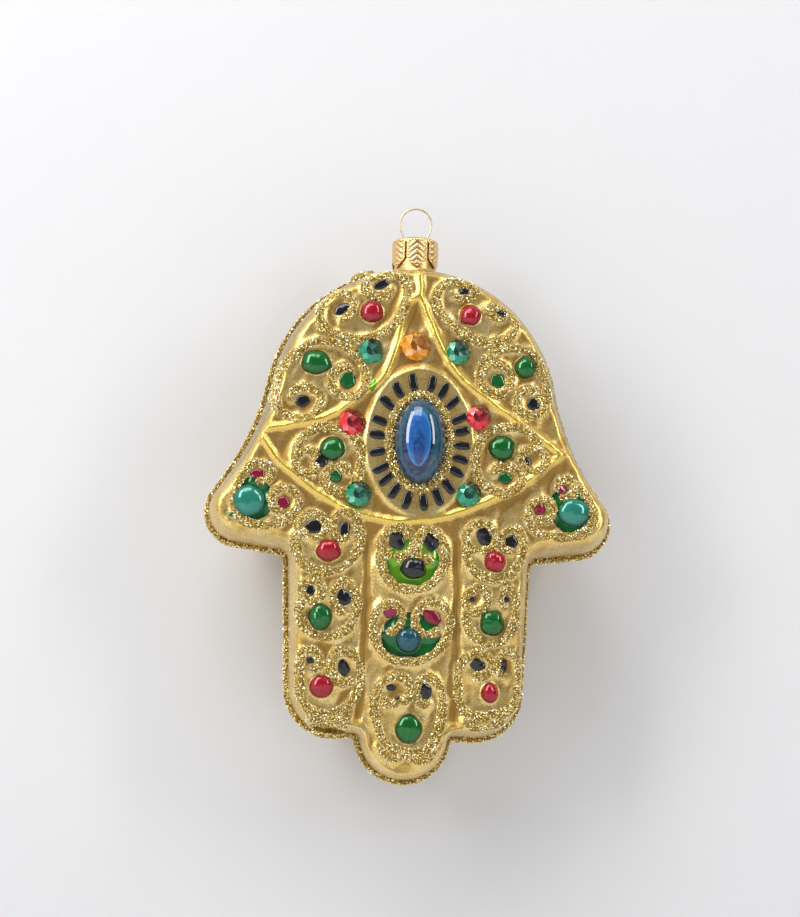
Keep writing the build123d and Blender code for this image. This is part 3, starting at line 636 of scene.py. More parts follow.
def bump(tree, shader, height, distance, strength):
    node = tree.nodes.new("ShaderNodeBump")
    node.inputs["Distance"].default_value = distance
    node.inputs["Strength"].default_value = strength
    tree.links.new(height, node.inputs["Height"])
    tree.links.new(node.outputs["Normal"], shader.inputs["Normal"])


lacquerLooks = {
    "pale": (0.93, 0.74, 0.33), "gold": (0.80, 0.55, 0.18), "khaki": (0.30, 0.17, 0.035),
    "amber": (0.86, 0.60, 0.13), "side": (0.46, 0.34, 0.15), "grain": (0.44, 0.29, 0.075),
    "rough": 0.22, "recessRough": 0.46, "fineRough": 0.06, "metal": 0.85, "specular": 0.35,
    "fine": (2600.0, 0.38, 0.62), "blotch": (210.0, 0.36, 0.66), "grainShare": 0.42, "duskGrain": 0.5,
    "duskRange": (0.05, 0.6, 0.12, 0.92), "ridgeRange": (0.15, 0.75), "sideRange": (0.3, 0.75),
    "bumpDistance": 0.00004, "bumpStrength": 0.35,
}


def makeLacquer():
    look = lacquerLooks
    material, tree, shader = newMaterial("matteGoldLacquer", metal=look["metal"], specular=look["specular"])
    split = tree.nodes.new("ShaderNodeSeparateColor")
    tree.links.new(attribute(tree, "lacquerMap", "Color"), split.inputs["Color"])
    ridge, recess, side = split.outputs
    fine, blotch = speckle(tree, *look["fine"]), speckle(tree, *look["blotch"])
    color = mixColor(tree, blotch, look["gold"], look["pale"])
    color = mixColor(tree, calculate(tree, "MULTIPLY", fine, look["grainShare"]), color, look["grain"])
    # painted shade: the recesses turn dark khaki, broken by a fine speckle
    recessShade = calculate(tree, "ADD", recess, calculate(tree, "MULTIPLY", fine, look["duskGrain"]), True)
    recessShade = calculate(tree, "MULTIPLY", recessShade, spread(tree, recess, *look["duskRange"]))
    color = mixColor(tree, recessShade, color, look["khaki"])
    color = mixColor(tree, spread(tree, ridge, *look["ridgeRange"]), color, look["amber"])
    # painted shade: the side wall turns a darker greyish gold
    color = mixColor(tree, spread(tree, side, *look["sideRange"]), color, look["side"])
    tree.links.new(color, shader.inputs["Base Color"])
    rough = calculate(tree, "ADD", spread(tree, recess, 0.0, 1.0, look["rough"], look["recessRough"]),
                      calculate(tree, "MULTIPLY", fine, look["fineRough"]))
    tree.links.new(rough, shader.inputs["Roughness"])
    bump(tree, shader, fine, look["bumpDistance"], look["bumpStrength"])
    return material


flakeLooks = {
    "tones": ((0.0, (0.15, 0.085, 0.012)), (0.2, (0.38, 0.25, 0.045)), (0.45, (0.76, 0.55, 0.14)),
              (0.75, (0.97, 0.81, 0.36)), (1.0, (1.0, 0.96, 0.74))),
    "darkRough": 0.42, "paleRough": 0.2, "metal": 0.75,
}


def makeGlitter():
    look = flakeLooks
    material, tree, shader = newMaterial("goldGlitter", metal=look["metal"])
    tone = attribute(tree, "flakeTone")
    tree.links.new(ramp(tree, tone, look["tones"]), shader.inputs["Base Color"])
    tree.links.new(spread(tree, tone, 0, 1, look["darkRough"], look["paleRough"]), shader.inputs["Roughness"])
    return material


enamelGloss = {
    "rough": 0.12, "roughCloud": 0.08, "coat": 0.8, "coatRough": 0.03, "specular": 0.3,
    "cloud": (900.0, 0.3, 0.75), "cloudShare": 0.1, "footRange": (0.72, 1.05),
    "bumpDistance": 0.00008, "bumpStrength": 0.1,
}


def makeEnamel(name, color, dark, metal):  # glossy lacquer, painted darker towards the foot of each drop as shade
    gloss = enamelGloss
    material, tree, shader = newMaterial(name, metal=metal, coat=gloss["coat"], coatRough=gloss["coatRough"],
                                         specular=gloss["specular"])
    cloud = speckle(tree, *gloss["cloud"])
    foot = calculate(tree, "ADD", spread(tree, attribute(tree, "share"), *gloss["footRange"]),
                     calculate(tree, "MULTIPLY", cloud, gloss["cloudShare"]), True)
    tree.links.new(mixColor(tree, foot, color, dark), shader.inputs["Base Color"])
    tree.links.new(spread(tree, cloud, 0, 1, gloss["rough"], gloss["rough"] + gloss["roughCloud"]),
                   shader.inputs["Roughness"])
    bump(tree, shader, cloud, gloss["bumpDistance"], gloss["bumpStrength"])
    return material


enamelLooks = {  # colour, darker colour painted as shade towards the foot, metallic share
    "red": ((0.36, 0.0, 0.014), (0.12, 0.0, 0.004), 0.15),
    "green": ((0.002, 0.135, 0.018), (0.0, 0.015, 0.003), 0.4),
    "deepTeal": ((0.006, 0.085, 0.12), (0.001, 0.02, 0.03), 0.3),
    "teal": ((0.02, 0.24, 0.17), (0.003, 0.07, 0.05), 0.3),
    "maroon": ((0.24, 0.002, 0.028), (0.08, 0.001, 0.010), 0.15),
    "black": ((0.004, 0.004, 0.006), (0.002, 0.002, 0.003), 0.0),
    "lime": ((0.17, 0.42, 0.008), (0.02, 0.18, 0.005), 0.55),
}
enamels = {name: makeEnamel(name + "Enamel", *look) for name, look in enamelLooks.items()}
lacquer, glitter = makeLacquer(), makeGlitter()


def makeGlassBody():
    look = glassLooks
    count = len(outline)
    verts, faces, paint = [], [], []

    def addPoints(places, inset, front):
        share = 1.0 if front else look["backShare"]
        depth = glassDepth(places, inset, share)
        verts.extend(np.column_stack((places[:, 0], -depth if front else depth, places[:, 1])))
        # each point's map holds the amber paint of the ridges and the line, the painted shade of the
        # recesses, and the painted shade of the side wall near the top
        line = look["linePaint"] * np.exp(-((inset - look["lineInset"]) / look["linePaintWidth"])**2)
        ridge = np.maximum(sampleGrid(ridgeGrid, places) * smoothStep(*look["ridgeInset"], inset), line)
        recess = np.clip(sampleGrid(recessShadeGrid, places) * smoothStep(*look["reliefInset"], inset), 0, 1)
        # painted shade on the rolled side wall, fading out towards the fingers
        side = (1 - smoothStep(*look["sideInset"], inset)) * smoothStep(*look["sideHeight"], places[:, 1])
        paint.extend(np.column_stack((ridge, recess, side, np.ones(len(places)))))

    addPoints(outline, np.zeros(count), True)
    for front, spacing in ((True, look["frontSpacing"]), (False, look["backSpacing"])):
        last = 0
        for ringDepth in look["ringDepths"][1:]:
            inset = float(rollInset(ringDepth))
            first = len(verts)
            ring = outline - outlineWays * inset
            addPoints(ring, np.full(count, inset), front)
            for i in range(count):
                j = (i + 1) % count
                quad = (last + i, last + j, first + j, first + i)
                faces.append(quad if front else quad[::-1])
            last = first
        xs = np.arange(meshSpan["left"], meshSpan["right"], spacing)
        zs = np.arange(meshSpan["bottom"], meshSpan["top"], spacing * look["rowShare"])
        gridX, gridZ = np.meshgrid(xs, zs)
        gridX[1::2] += spacing / 2
        grid = np.column_stack((gridX.ravel(), gridZ.ravel()))
        grid = grid[isInside(grid, ring)]
        grid = grid[lineDistance(grid, ring, closed=True) > spacing * look["clearShare"]]
        points = np.vstack((ring, grid))
        edges = [(i, (i + 1) % count) for i in range(count)]
        found = delaunay_2d_cdt([Vector(p) for p in points], edges, [], 1, 1e-7)
        index = [sources[0] for sources in found[3]]
        first = len(verts)
        addPoints(grid, lineDistance(grid, outline, closed=True), front)
        for face in found[2]:
            corners = [index[i] for i in face]
            corners = [last + c if c < count else first + c - count for c in corners]
            faces.append(tuple(corners if front else corners[::-1]))
    shape = newShape()
    addRings(shape, neckRings())
    first = len(verts)
    verts.extend(shape["verts"])
    faces.extend(tuple(first + i for i in face) for face in shape["faces"])
    # the neck gets a quarter of the recesses' painted shade
    paint.extend([(0, 0.25, 0, 1)] * len(shape["verts"]))
    obj = shapeObject("lacquered_glass_hand", newShape(verts, faces))
    lacquerMap = obj.data.attributes.new("lacquerMap", "FLOAT_COLOR", "POINT")
    lacquerMap.data.foreach_set("color", np.array(paint, float).ravel())
    return obj


neckLooks = {
    "profile": ((1.6, -16.8), (6.6, -16.2), (5.6, -15.1), (4.9, -14.35), (4.5, -13.6), (4.35, -12.8),
                (4.35, -10.0), (4.35, -7.5), (4.27, -7.2), (4.1, -7.06), (3.85, -7.06), (3.6, -7.15),
                (3.45, -7.4), (3.45, -10.0), (3.45, -13.5), (3.2, -15.0), (1.6, -16.0)),
    "turns": 48,
}


def neckRings():  # the open glass neck, a closed wall turned about the hand's upright axis
    angles = np.linspace(0, 2 * math.pi, neckLooks["turns"], endpoint=False)
    return [np.column_stack((r * np.cos(angles), r * np.sin(angles), np.full(len(angles), z)))
            for r, z in neckLooks["profile"]]


body = makeGlassBody()
finishPiece(body, lacquer, "glass", "lacquered_glass", "glass_body")
print("glass hand:", len(body.data.vertices), "points")

glitterLooks = {
    "half": 0.96, "rise": 0.26, "sink": 0.3, "waver": 0.24, "seed": 12,
    "flakesPerSquareMillimetre": 16.0, "flakeSize": 0.42, "smallest": 0.45, "largest": 1.15, "tumble": 1.9,
    "endShare": 0.06, "glueTone": 0.12, "flakeCorners": 5, "flakeHalf": 0.5,
}
beadProfile = ((-1.0, -1.0), (-0.93, 0.3), (-0.6, 0.8), (-0.2, 1.0), (0.2, 1.0), (0.6, 0.8), (0.93, 0.3),
               (1.0, -1.0))


def unevenness(count, draw, step=7):  # a soft random run between about -1 and 1
    knots = draw.uniform(-1, 1, count // step + 3)
    return np.interp(np.arange(count) / step, np.arange(len(knots)), knots)


def roundEnd(share):  # the height of a rounded end, from its tip to its full height
    return np.sqrt(np.clip(1 - (1 - np.clip(share, 0, 1))**2, glitterLooks["endShare"], 1))


def addBead(shape, line, draw, look, closed=False):  # one squeezed line of glue that lies on the glass
    count = len(line)
    run = np.roll(line, -1, 0) - np.roll(line, 1, 0) if closed else np.gradient(line, axis=0)
    run /= np.linalg.norm(run, axis=1)[:, None]
    side = np.column_stack((-run[:, 1], run[:, 0]))
    half = look["half"] * (1 + look["waver"] * unevenness(count, draw))
    rise = look["rise"] * (1 + look["waver"] * unevenness(count, draw))
    if not closed:
        steps = np.r_[0, np.cumsum(np.linalg.norm(np.diff(line, axis=0), axis=1))]
        ends = np.minimum(steps, steps[-1] - steps)
        taper = roundEnd(ends / half)
        half, rise = half * taper, rise * taper
    across, up = np.array(beadProfile).T
    places = line[:, None] + side[:, None] * (half[:, None] * across[None])[:, :, None]
    flat = places.reshape(-1, 2)
    lift = np.where(up[None] > 0, rise[:, None] * up[None], -look["sink"])
    depth = glassDepth(flat) + lift.ravel()
    rings = np.column_stack((flat[:, 0], -depth, flat[:, 1])).reshape(count, len(across), 3)
    addRings(shape, rings, closed, crust=np.arange(len(across)) < len(across) - 1)


def makeFlakeTree():  # scatters small shards over the faces marked as crust
    tree = bpy.data.node_groups.new("glitterFlakes", "GeometryNodeTree")
    tree.interface.new_socket("Geometry", in_out="INPUT", socket_type="NodeSocketGeometry")
    for name, kind in (("Flakes Per Square Metre", "Float"), ("Flake Size", "Float"), ("Smallest", "Float"),
                       ("Largest", "Float"), ("Tumble", "Vector"), ("Seed", "Int"), ("Glitter", "Material")):
        tree.interface.new_socket(name, in_out="INPUT", socket_type="NodeSocket" + kind)
    tree.interface.new_socket("Geometry", in_out="OUTPUT", socket_type="NodeSocketGeometry")
    make, link = tree.nodes.new, tree.links.new
    given, result = make("NodeGroupInput").outputs, make("NodeGroupOutput").inputs
    crust = make("GeometryNodeInputNamedAttribute")
    crust.data_type = "BOOLEAN"
    crust.inputs["Name"].default_value = "crust"
    scatter = make("GeometryNodeDistributePointsOnFaces")
    link(given["Geometry"], scatter.inputs["Mesh"])
    link(crust.outputs["Attribute"], scatter.inputs["Selection"])
    link(given["Flakes Per Square Metre"], scatter.inputs["Density"])
    link(given["Seed"], scatter.inputs["Seed"])

    def randomValue(kind, low, high):
        node = make("FunctionNodeRandomValue")
        node.data_type = kind
        sockets = [s for s in node.inputs if s.enabled and s.name in ("Min", "Max")]
        for value, socket in zip((low, high), sockets):
            plug(tree, value, socket)
        link(given["Seed"], node.inputs["Seed"])
        return next(s for s in node.outputs if s.enabled)

    back = make("ShaderNodeVectorMath")
    back.operation = "SCALE"
    link(given["Tumble"], back.inputs[0])
    back.inputs["Scale"].default_value = -1.0
    spin = make("FunctionNodeEulerToRotation")
    link(randomValue("FLOAT_VECTOR", back.outputs[0], given["Tumble"]), spin.inputs[0])
    turn = make("FunctionNodeRotateRotation")
    turn.rotation_space = "LOCAL"
    link(scatter.outputs["Rotation"], turn.inputs["Rotation"])
    link(spin.outputs[0], turn.inputs["Rotate By"])
    half = make("ShaderNodeMath")
    half.operation = "MULTIPLY"
    link(given["Flake Size"], half.inputs[0])
    half.inputs[1].default_value = glitterLooks["flakeHalf"]
    shard = make("GeometryNodeMeshCone")
    shard.inputs["Vertices"].default_value = glitterLooks["flakeCorners"]
    shard.inputs["Radius Top"].default_value = 0.0
    link(half.outputs[0], shard.inputs["Radius Bottom"])
    link(half.outputs[0], shard.inputs["Depth"])
    place = make("GeometryNodeInstanceOnPoints")
    link(scatter.outputs["Points"], place.inputs["Points"])
    link(shard.outputs["Mesh"], place.inputs["Instance"])
    link(turn.outputs[0], place.inputs["Rotation"])
    link(randomValue("FLOAT", given["Smallest"], given["Largest"]), place.inputs["Scale"])
    tone, glue = make("GeometryNodeStoreNamedAttribute"), make("GeometryNodeStoreNamedAttribute")
    realize, join, paint = (make("GeometryNodeRealizeInstances"), make("GeometryNodeJoinGeometry"),
                            make("GeometryNodeSetMaterial"))
    for node, domain, source in ((tone, "INSTANCE", place.outputs["Instances"]),
                                 (glue, "POINT", given["Geometry"])):
        node.data_type, node.domain = "FLOAT", domain
        node.inputs["Name"].default_value = "flakeTone"
        link(source, node.inputs["Geometry"])
        link(node.outputs["Geometry"], join.inputs["Geometry"])
    link(randomValue("FLOAT", 0.0, 1.0), tone.inputs["Value"])
    # the glue under the flakes takes a dark tone: painted shade for the gaps between the flakes
    glue.inputs["Value"].default_value = glitterLooks["glueTone"]
    link(join.outputs["Geometry"], realize.inputs["Geometry"])
    link(realize.outputs["Geometry"], paint.inputs["Geometry"])
    link(given["Glitter"], paint.inputs["Material"])
    link(paint.outputs["Geometry"], result["Geometry"])
    return tree


flakeTree = makeFlakeTree()
flakeSockets = {item.name: item.identifier for item in flakeTree.interface.items_tree
                if item.in_out == "INPUT"}


def makeGlitterPiece(name, shape, node, number):
    look = glitterLooks
    obj = shapeObject(name, shape, smooth=False)
    modifier = obj.modifiers.new("glitterFlakes", "NODES")
    modifier.node_group = flakeTree
    tumble = look["tumble"]
    for key, value in (("Flakes Per Square Metre", look["flakesPerSquareMillimetre"] * 1e6),
                       ("Flake Size", look["flakeSize"] * toMetres), ("Smallest", look["smallest"]),
                       ("Largest", look["largest"]), ("Tumble", (tumble, tumble, math.pi)),
                       ("Seed", look["seed"] + number), ("Glitter", glitter)):
        modifier[flakeSockets[key]] = value
    bakeModifiers(obj)
    finishPiece(obj, glitter, "glass", "gold_glitter", node)


seamLooks = {
    "proud": 0.3, "half": 1.0, "inner": 0.95, "clear": 5.35, "clearAbove": -20, "waver": 0.22,
    "waverStep": 5, "endLength": 0.9, "corners": 10, "crustFrom": -0.9, "blobPower": 0.8,
    "blobStart": (-13.3, 3.1), "blobEnd": (-8.1, 2.0), "blobProud": 1.15, "blobHalf": 1.1,
}
seamProfile = [(math.cos(a), math.sin(a))
               for a in np.linspace(-math.pi, math.pi, seamLooks["corners"], endpoint=False)]
eyeRing = {"half": (6.15, 9.72), "turns": 132, "beadHalf": 0.95, "beadRise": 0.5}
seedShifts = {"eyeRing": 40, "seam": 41}


def addSeam(shape, draw):  # the glittered rope round the seam, open where the neck stands, with its one blob
    s = seamLooks
    clear = (np.abs(seamLine[:, 0]) < s["clear"]) & (seamLine[:, 1] > s["clearAbove"])
    start = np.flatnonzero(clear & ~np.roll(clear, -1))[0] + 1
    order = (start + np.arange(len(seamLine) - clear.sum())) % len(seamLine)
    line, ways = seamLine[order], seamWays[order]
    count = len(line)
    proud = s["proud"] * (1 + s["waver"] * unevenness(count, draw, s["waverStep"]))
    half = s["half"] * (1 + s["waver"] * unevenness(count, draw, s["waverStep"]))
    steps = np.r_[0, np.cumsum(np.linalg.norm(np.diff(line, axis=0), axis=1))]
    taper = roundEnd(np.minimum(steps, steps[-1] - steps) / s["endLength"])
    first, last = (np.linalg.norm(line - facePlace(s[end]), axis=1).argmin()
                   for end in ("blobStart", "blobEnd"))
    run = (steps - steps[first]) / (steps[last] - steps[first]) * 2 - 1
    blob = np.sqrt(np.clip(1 - run**2, 0, 1)) ** s["blobPower"]
    proud = (proud + s["blobProud"] * blob) * taper
    half = (half + (s["blobHalf"] - s["half"]) * blob) * taper
    rings = []
    for i in range(count):
        ring = []
        for out, across in seamProfile:
            reach = out * (proud[i] if out > 0 else s["inner"] * taper[i])
            place = line[i] + ways[i] * reach
            ring.append((place[0], across * half[i], place[1]))
        rings.append(ring)
    addRings(shape, rings, crust=[out > s["crustFrom"] for out, across in seamProfile])


def makeGlitterPieces():
    draw = np.random.default_rng(glitterLooks["seed"])
    for number, (name, lines) in enumerate(strokeLines.items()):
        if name != "seam_top":
            shape = newShape()
            for line in lines:
                addBead(shape, line, draw, glitterLooks)
            makeGlitterPiece("glitter_line_" + name, shape, "glitter_" + name, number)
    turns = np.linspace(0, 2 * math.pi, eyeRing["turns"], endpoint=False)
    wide, tall = eyeRing["half"]
    ring = facePlace(eyePlace) + np.column_stack((wide * np.cos(turns), tall * np.sin(turns)))
    shape = newShape()
    look = {**glitterLooks, "half": eyeRing["beadHalf"], "rise": eyeRing["beadRise"]}
    addBead(shape, ring, draw, look, closed=True)
    makeGlitterPiece("glitter_line_round_eye", shape, "eye_glitter_ring", seedShifts["eyeRing"])
    shape = newShape()
    addSeam(shape, draw)
    makeGlitterPiece("glitter_rope_on_seam", shape, "seam_glitter_rope", seedShifts["seam"])


makeGlitterPieces()
print("glitter lines laid")


blobSizes = {"waverCalm": 2.5, "firstTurn": 0.1, "leastCoat": 0.1, "footShare": 0.98, "innerShare": 0.5}


# A closed drop of enamel. A domed one spans the relief beneath it, a thin one follows it.
def addBlob(shape, middle, half, rise, draw, waver=0.05, domed=True, lean=0.0, power=2.0, edge=(2.2, 0.55),
            rings=12, turns=40, sink=0.3):
    s = blobSizes
    angles = np.linspace(0, 2 * math.pi, turns, endpoint=False)
    knots = draw.uniform(-1, 1, (4, 2))
    wobble = sum(a * np.cos(angles * (i + 2)) + b * np.sin(angles * (i + 2))
                 for i, (a, b) in enumerate(knots)) / s["waverCalm"]
    squareness = (np.abs(np.cos(angles))**power + np.abs(np.sin(angles))**power)**(1 / power)
    reach = (1 + waver * wobble) / squareness
    around = np.column_stack((half[0] * reach * np.cos(angles), half[1] * reach * np.sin(angles)))
    tilt = math.radians(lean)
    around = around @ np.array(((math.cos(tilt), math.sin(tilt)), (-math.sin(tilt), math.cos(tilt))))
    rim = glassDepth(middle + around)
    made, shares = [], list(np.sin(np.linspace(s["firstTurn"], math.pi / 2, rings)))
    for share in shares:
        places = middle + around * share
        lift = rise * (1 - share**edge[0])**edge[1]
        depth = glassDepth(places) + lift
        if domed:
            spanned = rim.mean() + share * (rim - rim.mean()) + lift
            depth = np.maximum(spanned, glassDepth(places) + s["leastCoat"] * (1 - share**4))
        made.append(np.column_stack((places[:, 0], -depth, places[:, 1])))
    places = middle + around * s["footShare"]
    made.append(np.column_stack((places[:, 0], sink - rim, places[:, 1])))
    places = middle + around * s["innerShare"]
    made.append(np.column_stack((places[:, 0], np.full(turns, sink - rim.min()), places[:, 1])))
    addRings(shape, made, share=shares + [1.0, 1.0])


enamelSizes = {
    "bossRise": 1.8, "dotRise": 0.34, "fieldCoat": 0.1, "seed": 5,
    "dashAngles": (77, 59, 42, 25, 11, -2, -15, -29, -46, -63, -82, -104, -124, -139, -154, -169,
                   176, 161, 143, 124, 102),
    "dashWidth": 1.85, "dashRise": 0.42, "dashEnds": (7.0, 10.5), "dashTall": (10.6, 14.5),
    "dashSwing": 0.03, "dashLengths": (0.92, 1.04), "dashWidths": (0.9, 1.08),
    "field": {"waver": 0.1, "domed": False, "edge": (8, 0.5), "rings": 26, "turns": 72, "sink": 0.2},
    "dot": {"waver": 0.09, "edge": (2.6, 0.55), "rings": 9, "turns": 32},
    "dash": {"waver": 0.06, "domed": False, "power": 3.4, "edge": (2.6, 0.55), "rings": 9, "turns": 32},
}
slotNames = {"deepTeal": "teal_enamel"}


def makeEnamelPieces():
    s = enamelSizes
    draw = np.random.default_rng(s["seed"])
    for name, (place, half, color) in bosses.items():
        shape = newShape()
        addBlob(shape, facePlace(place), half, s["bossRise"], draw)
        obj = shapeObject("enamel_boss_" + name, shape)
        slot = slotNames.get(color, color + "_enamel")
        finishPiece(obj, enamels[color], "glass", slot, "enamel_" + name)
        if name in fields:
            shape = newShape()
            for middle, size, tint in fields[name]:
                addBlob(shape, facePlace(middle), size, s["fieldCoat"], draw, **s["field"])
            obj = shapeObject("enamel_field_" + name, shape)
            finishPiece(obj, enamels[tint], "glass", slot)
    for node, places in dots.items():
        shape = newShape()
        for place, half, lean in places:
            addBlob(shape, facePlace(place), half, s["dotRise"], draw, lean=lean, **s["dot"])
        obj = shapeObject(node.replace("dots", "patches"), shape)
        color = node.split("_")[1]
        finishPiece(obj, enamels[color], "glass", color + "_enamel", node)
    shape = newShape()
    eye = facePlace(eyePlace)
    for angle in s["dashAngles"]:
        turn = math.radians(angle) + draw.uniform(-s["dashSwing"], s["dashSwing"])
        way = np.array((math.cos(turn), math.sin(turn)))
        inner, outer = (way * (s["dashEnds"][i], s["dashTall"][i]) for i in (0, 1))
        run = (outer - inner) * draw.uniform(*s["dashLengths"])
        length = np.linalg.norm(run)
        half = (length / 2, s["dashWidth"] / 2 * draw.uniform(*s["dashWidths"]))
        addBlob(shape, eye + (inner + outer) / 2, half, s["dashRise"], draw,
                lean=math.degrees(math.atan2(run[1], run[0])), **s["dash"])
    obj = shapeObject("enamel_lashes_round_eye", shape)
    finishPiece(obj, enamels["black"], "glass", "black_enamel", "eye_lash_dashes")


makeEnamelPieces()
print("enamel laid")

cabochonLooks = {
    "rings": 40, "turns": 96, "firstTurn": 0.03, "girdle": 0.5, "roundness": (2.05, 0.52),
    "rough": 0.05, "coat": 0.6, "coatRough": 0.02,
    # each band: how far right and up of the eye's place, half sizes, unevenness
    "bands": (((0, 0), (5.25, 8.8), 0.03), ((-0.75, -0.7), (3.1, 6.7), 0.03),
              ((-0.6, 0.25), (2.5, 5.8), 0.03), ((-0.5, -2.2), (1.25, 3.2), 0.04)),
    # the outer oval is blue with two lighter rings, which are painted reflections; the inner oval is a
    # lighter blue, paler at its edge as a painted highlight, with a darker drop inside
    "stoneTones": ((0.0, (0.006, 0.055, 0.10)), (0.55, (0.004, 0.045, 0.085)), (0.68, (0.018, 0.095, 0.13)),
                   (0.74, (0.003, 0.04, 0.08)), (0.86, (0.01, 0.07, 0.11)), (0.93, (0.003, 0.03, 0.09)),
                   (1.0, (0.001, 0.012, 0.045))),
    "tongueTones": ((0.0, (0.004, 0.055, 0.24)), (0.6, (0.006, 0.085, 0.32)), (0.82, (0.008, 0.10, 0.36)),
                    (0.93, (0.03, 0.19, 0.46)), (1.0, (0.04, 0.20, 0.42))),
    # the crescent is painted shade: a dark band under the lower edge of the inner oval
    "crescentColor": (0.001, 0.008, 0.06), "crescentEdge": (1.04, 0.97), "tongueEdge": (1.03, 0.97),
    "dropColor": (0.003, 0.04, 0.18), "dropEdge": (1.06, 0.9), "wobbleGrains": (260.0, 0.2, 0.8),
    "fleckColor": (0.25, 0.5, 0.7), "fleckShare": 0.12, "flecks": (1100.0, 0.45, 0.7),
}


def makeCabochon():  # the eye: a smooth high oval of blue glass
    low, high = (np.array(corner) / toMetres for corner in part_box("eye_cabochon"))
    middle, half = (low + high) / 2, (high - low) / 2
    look = cabochonLooks
    angles = np.linspace(0, 2 * math.pi, look["turns"], endpoint=False)
    shares = np.sin(np.linspace(look["firstTurn"], math.pi / 2, look["rings"]))
    rise = high[1] - low[1] - look["girdle"]
    steep, soft = look["roundness"]
    rings = [(share, high[1] - look["girdle"] - rise * (1 - share**steep)**soft) for share in shares]
    rings += [(1.0, high[1]), (0.5, high[1])]
    shape = newShape()
    addRings(shape, [np.column_stack((middle[0] + half[0] * share * np.cos(angles), np.full(len(angles), y),
                                      middle[2] + half[2] * share * np.sin(angles))) for share, y in rings])
    return shapeObject("blue_glass_eye", shape)


def ovalReach(tree, middle, half, wobble):  # nought in the middle of an oval on the face, one on its edge
    place, mapping = tree.nodes.new("ShaderNodeTexCoord"), tree.nodes.new("ShaderNodeMapping")
    mapping.vector_type = "TEXTURE"
    mapping.inputs["Location"].default_value = (middle[0] * toMetres, 0, middle[1] * toMetres)
    mapping.inputs["Scale"].default_value = (half[0] * toMetres, 1e3, half[1] * toMetres)
    tree.links.new(place.outputs["Object"], mapping.inputs["Vector"])
    length = tree.nodes.new("ShaderNodeVectorMath")
    length.operation = "LENGTH"
    tree.links.new(mapping.outputs["Vector"], length.inputs[0])
    grains = speckle(tree, *cabochonLooks["wobbleGrains"])
    return calculate(tree, "ADD", length.outputs["Value"], spread(tree, grains, 0, 1, -wobble, wobble))


def makeCabochonMaterial():
    look = cabochonLooks
    material, tree, shader = newMaterial("bandedBlueGlass", rough=look["rough"], coat=look["coat"],
                                         coatRough=look["coatRough"])
    x, z = facePlace(eyePlace)
    outer, crescent, tongue, drop = (ovalReach(tree, (x + right, z + up), half, wobble)
                                     for (right, up), half, wobble in look["bands"])
    # painted reflections and shade: lighter rings on the outer oval, a dark crescent under the inner oval and
    # a pale edge round it
    color = ramp(tree, outer, look["stoneTones"])
    color = mixColor(tree, spread(tree, crescent, *look["crescentEdge"]), color, look["crescentColor"])
    color = mixColor(tree, spread(tree, tongue, *look["tongueEdge"]), color,
                     ramp(tree, tongue, look["tongueTones"]))
    color = mixColor(tree, spread(tree, drop, *look["dropEdge"]), color, look["dropColor"])
    flecks = calculate(tree, "MULTIPLY", speckle(tree, *look["flecks"]), look["fleckShare"])
    color = mixColor(tree, flecks, color, look["fleckColor"])
    tree.links.new(color, shader.inputs["Base Color"])
    return material


finishPiece(makeCabochon(), makeCabochonMaterial(), "glass", "blue_cabochon", "eye_cabochon")

stoneLooks = {
    "girdle": 0.34, "star": 0.74, "starReach": 0.76, "table": 0.46, "dish": 0.16, "brightWay": 238.0,
    "seed": 21, "toneSpread": 0.13, "brightKite": 3, "brightTone": 0.5, "cloud": (700.0, 0.3, 0.7),
    "cloudSpread": 0.08, "metal": 0.35, "rough": 0.07, "coat": 1.0, "coatRough": 0.02,
    # each kind of facet: its plain tone, and how much lighter it is where it faces the window
    "rim": 0.3, "back": 0.1, "upper": (0.32, 0.36), "kite": (0.36, 0.45), "starTone": (0.3, 0.3),
    "tableTone": (0.12, 0.08), "toneStops": (0.08, 0.55, 0.75, 1.0),
    # each stone's dark, middle and pale colours; the pale one shows as painted glints
    "amber_stone": ((0.28, 0.09, 0.004), (0.95, 0.36, 0.015), (0.95, 0.72, 0.55)),
    "red_stone": ((0.16, 0.001, 0.006), (0.86, 0.012, 0.035), (1.0, 0.42, 0.45)),
    "green_stone": ((0.001, 0.04, 0.025), (0.006, 0.30, 0.16), (0.30, 0.80, 0.60)),
}


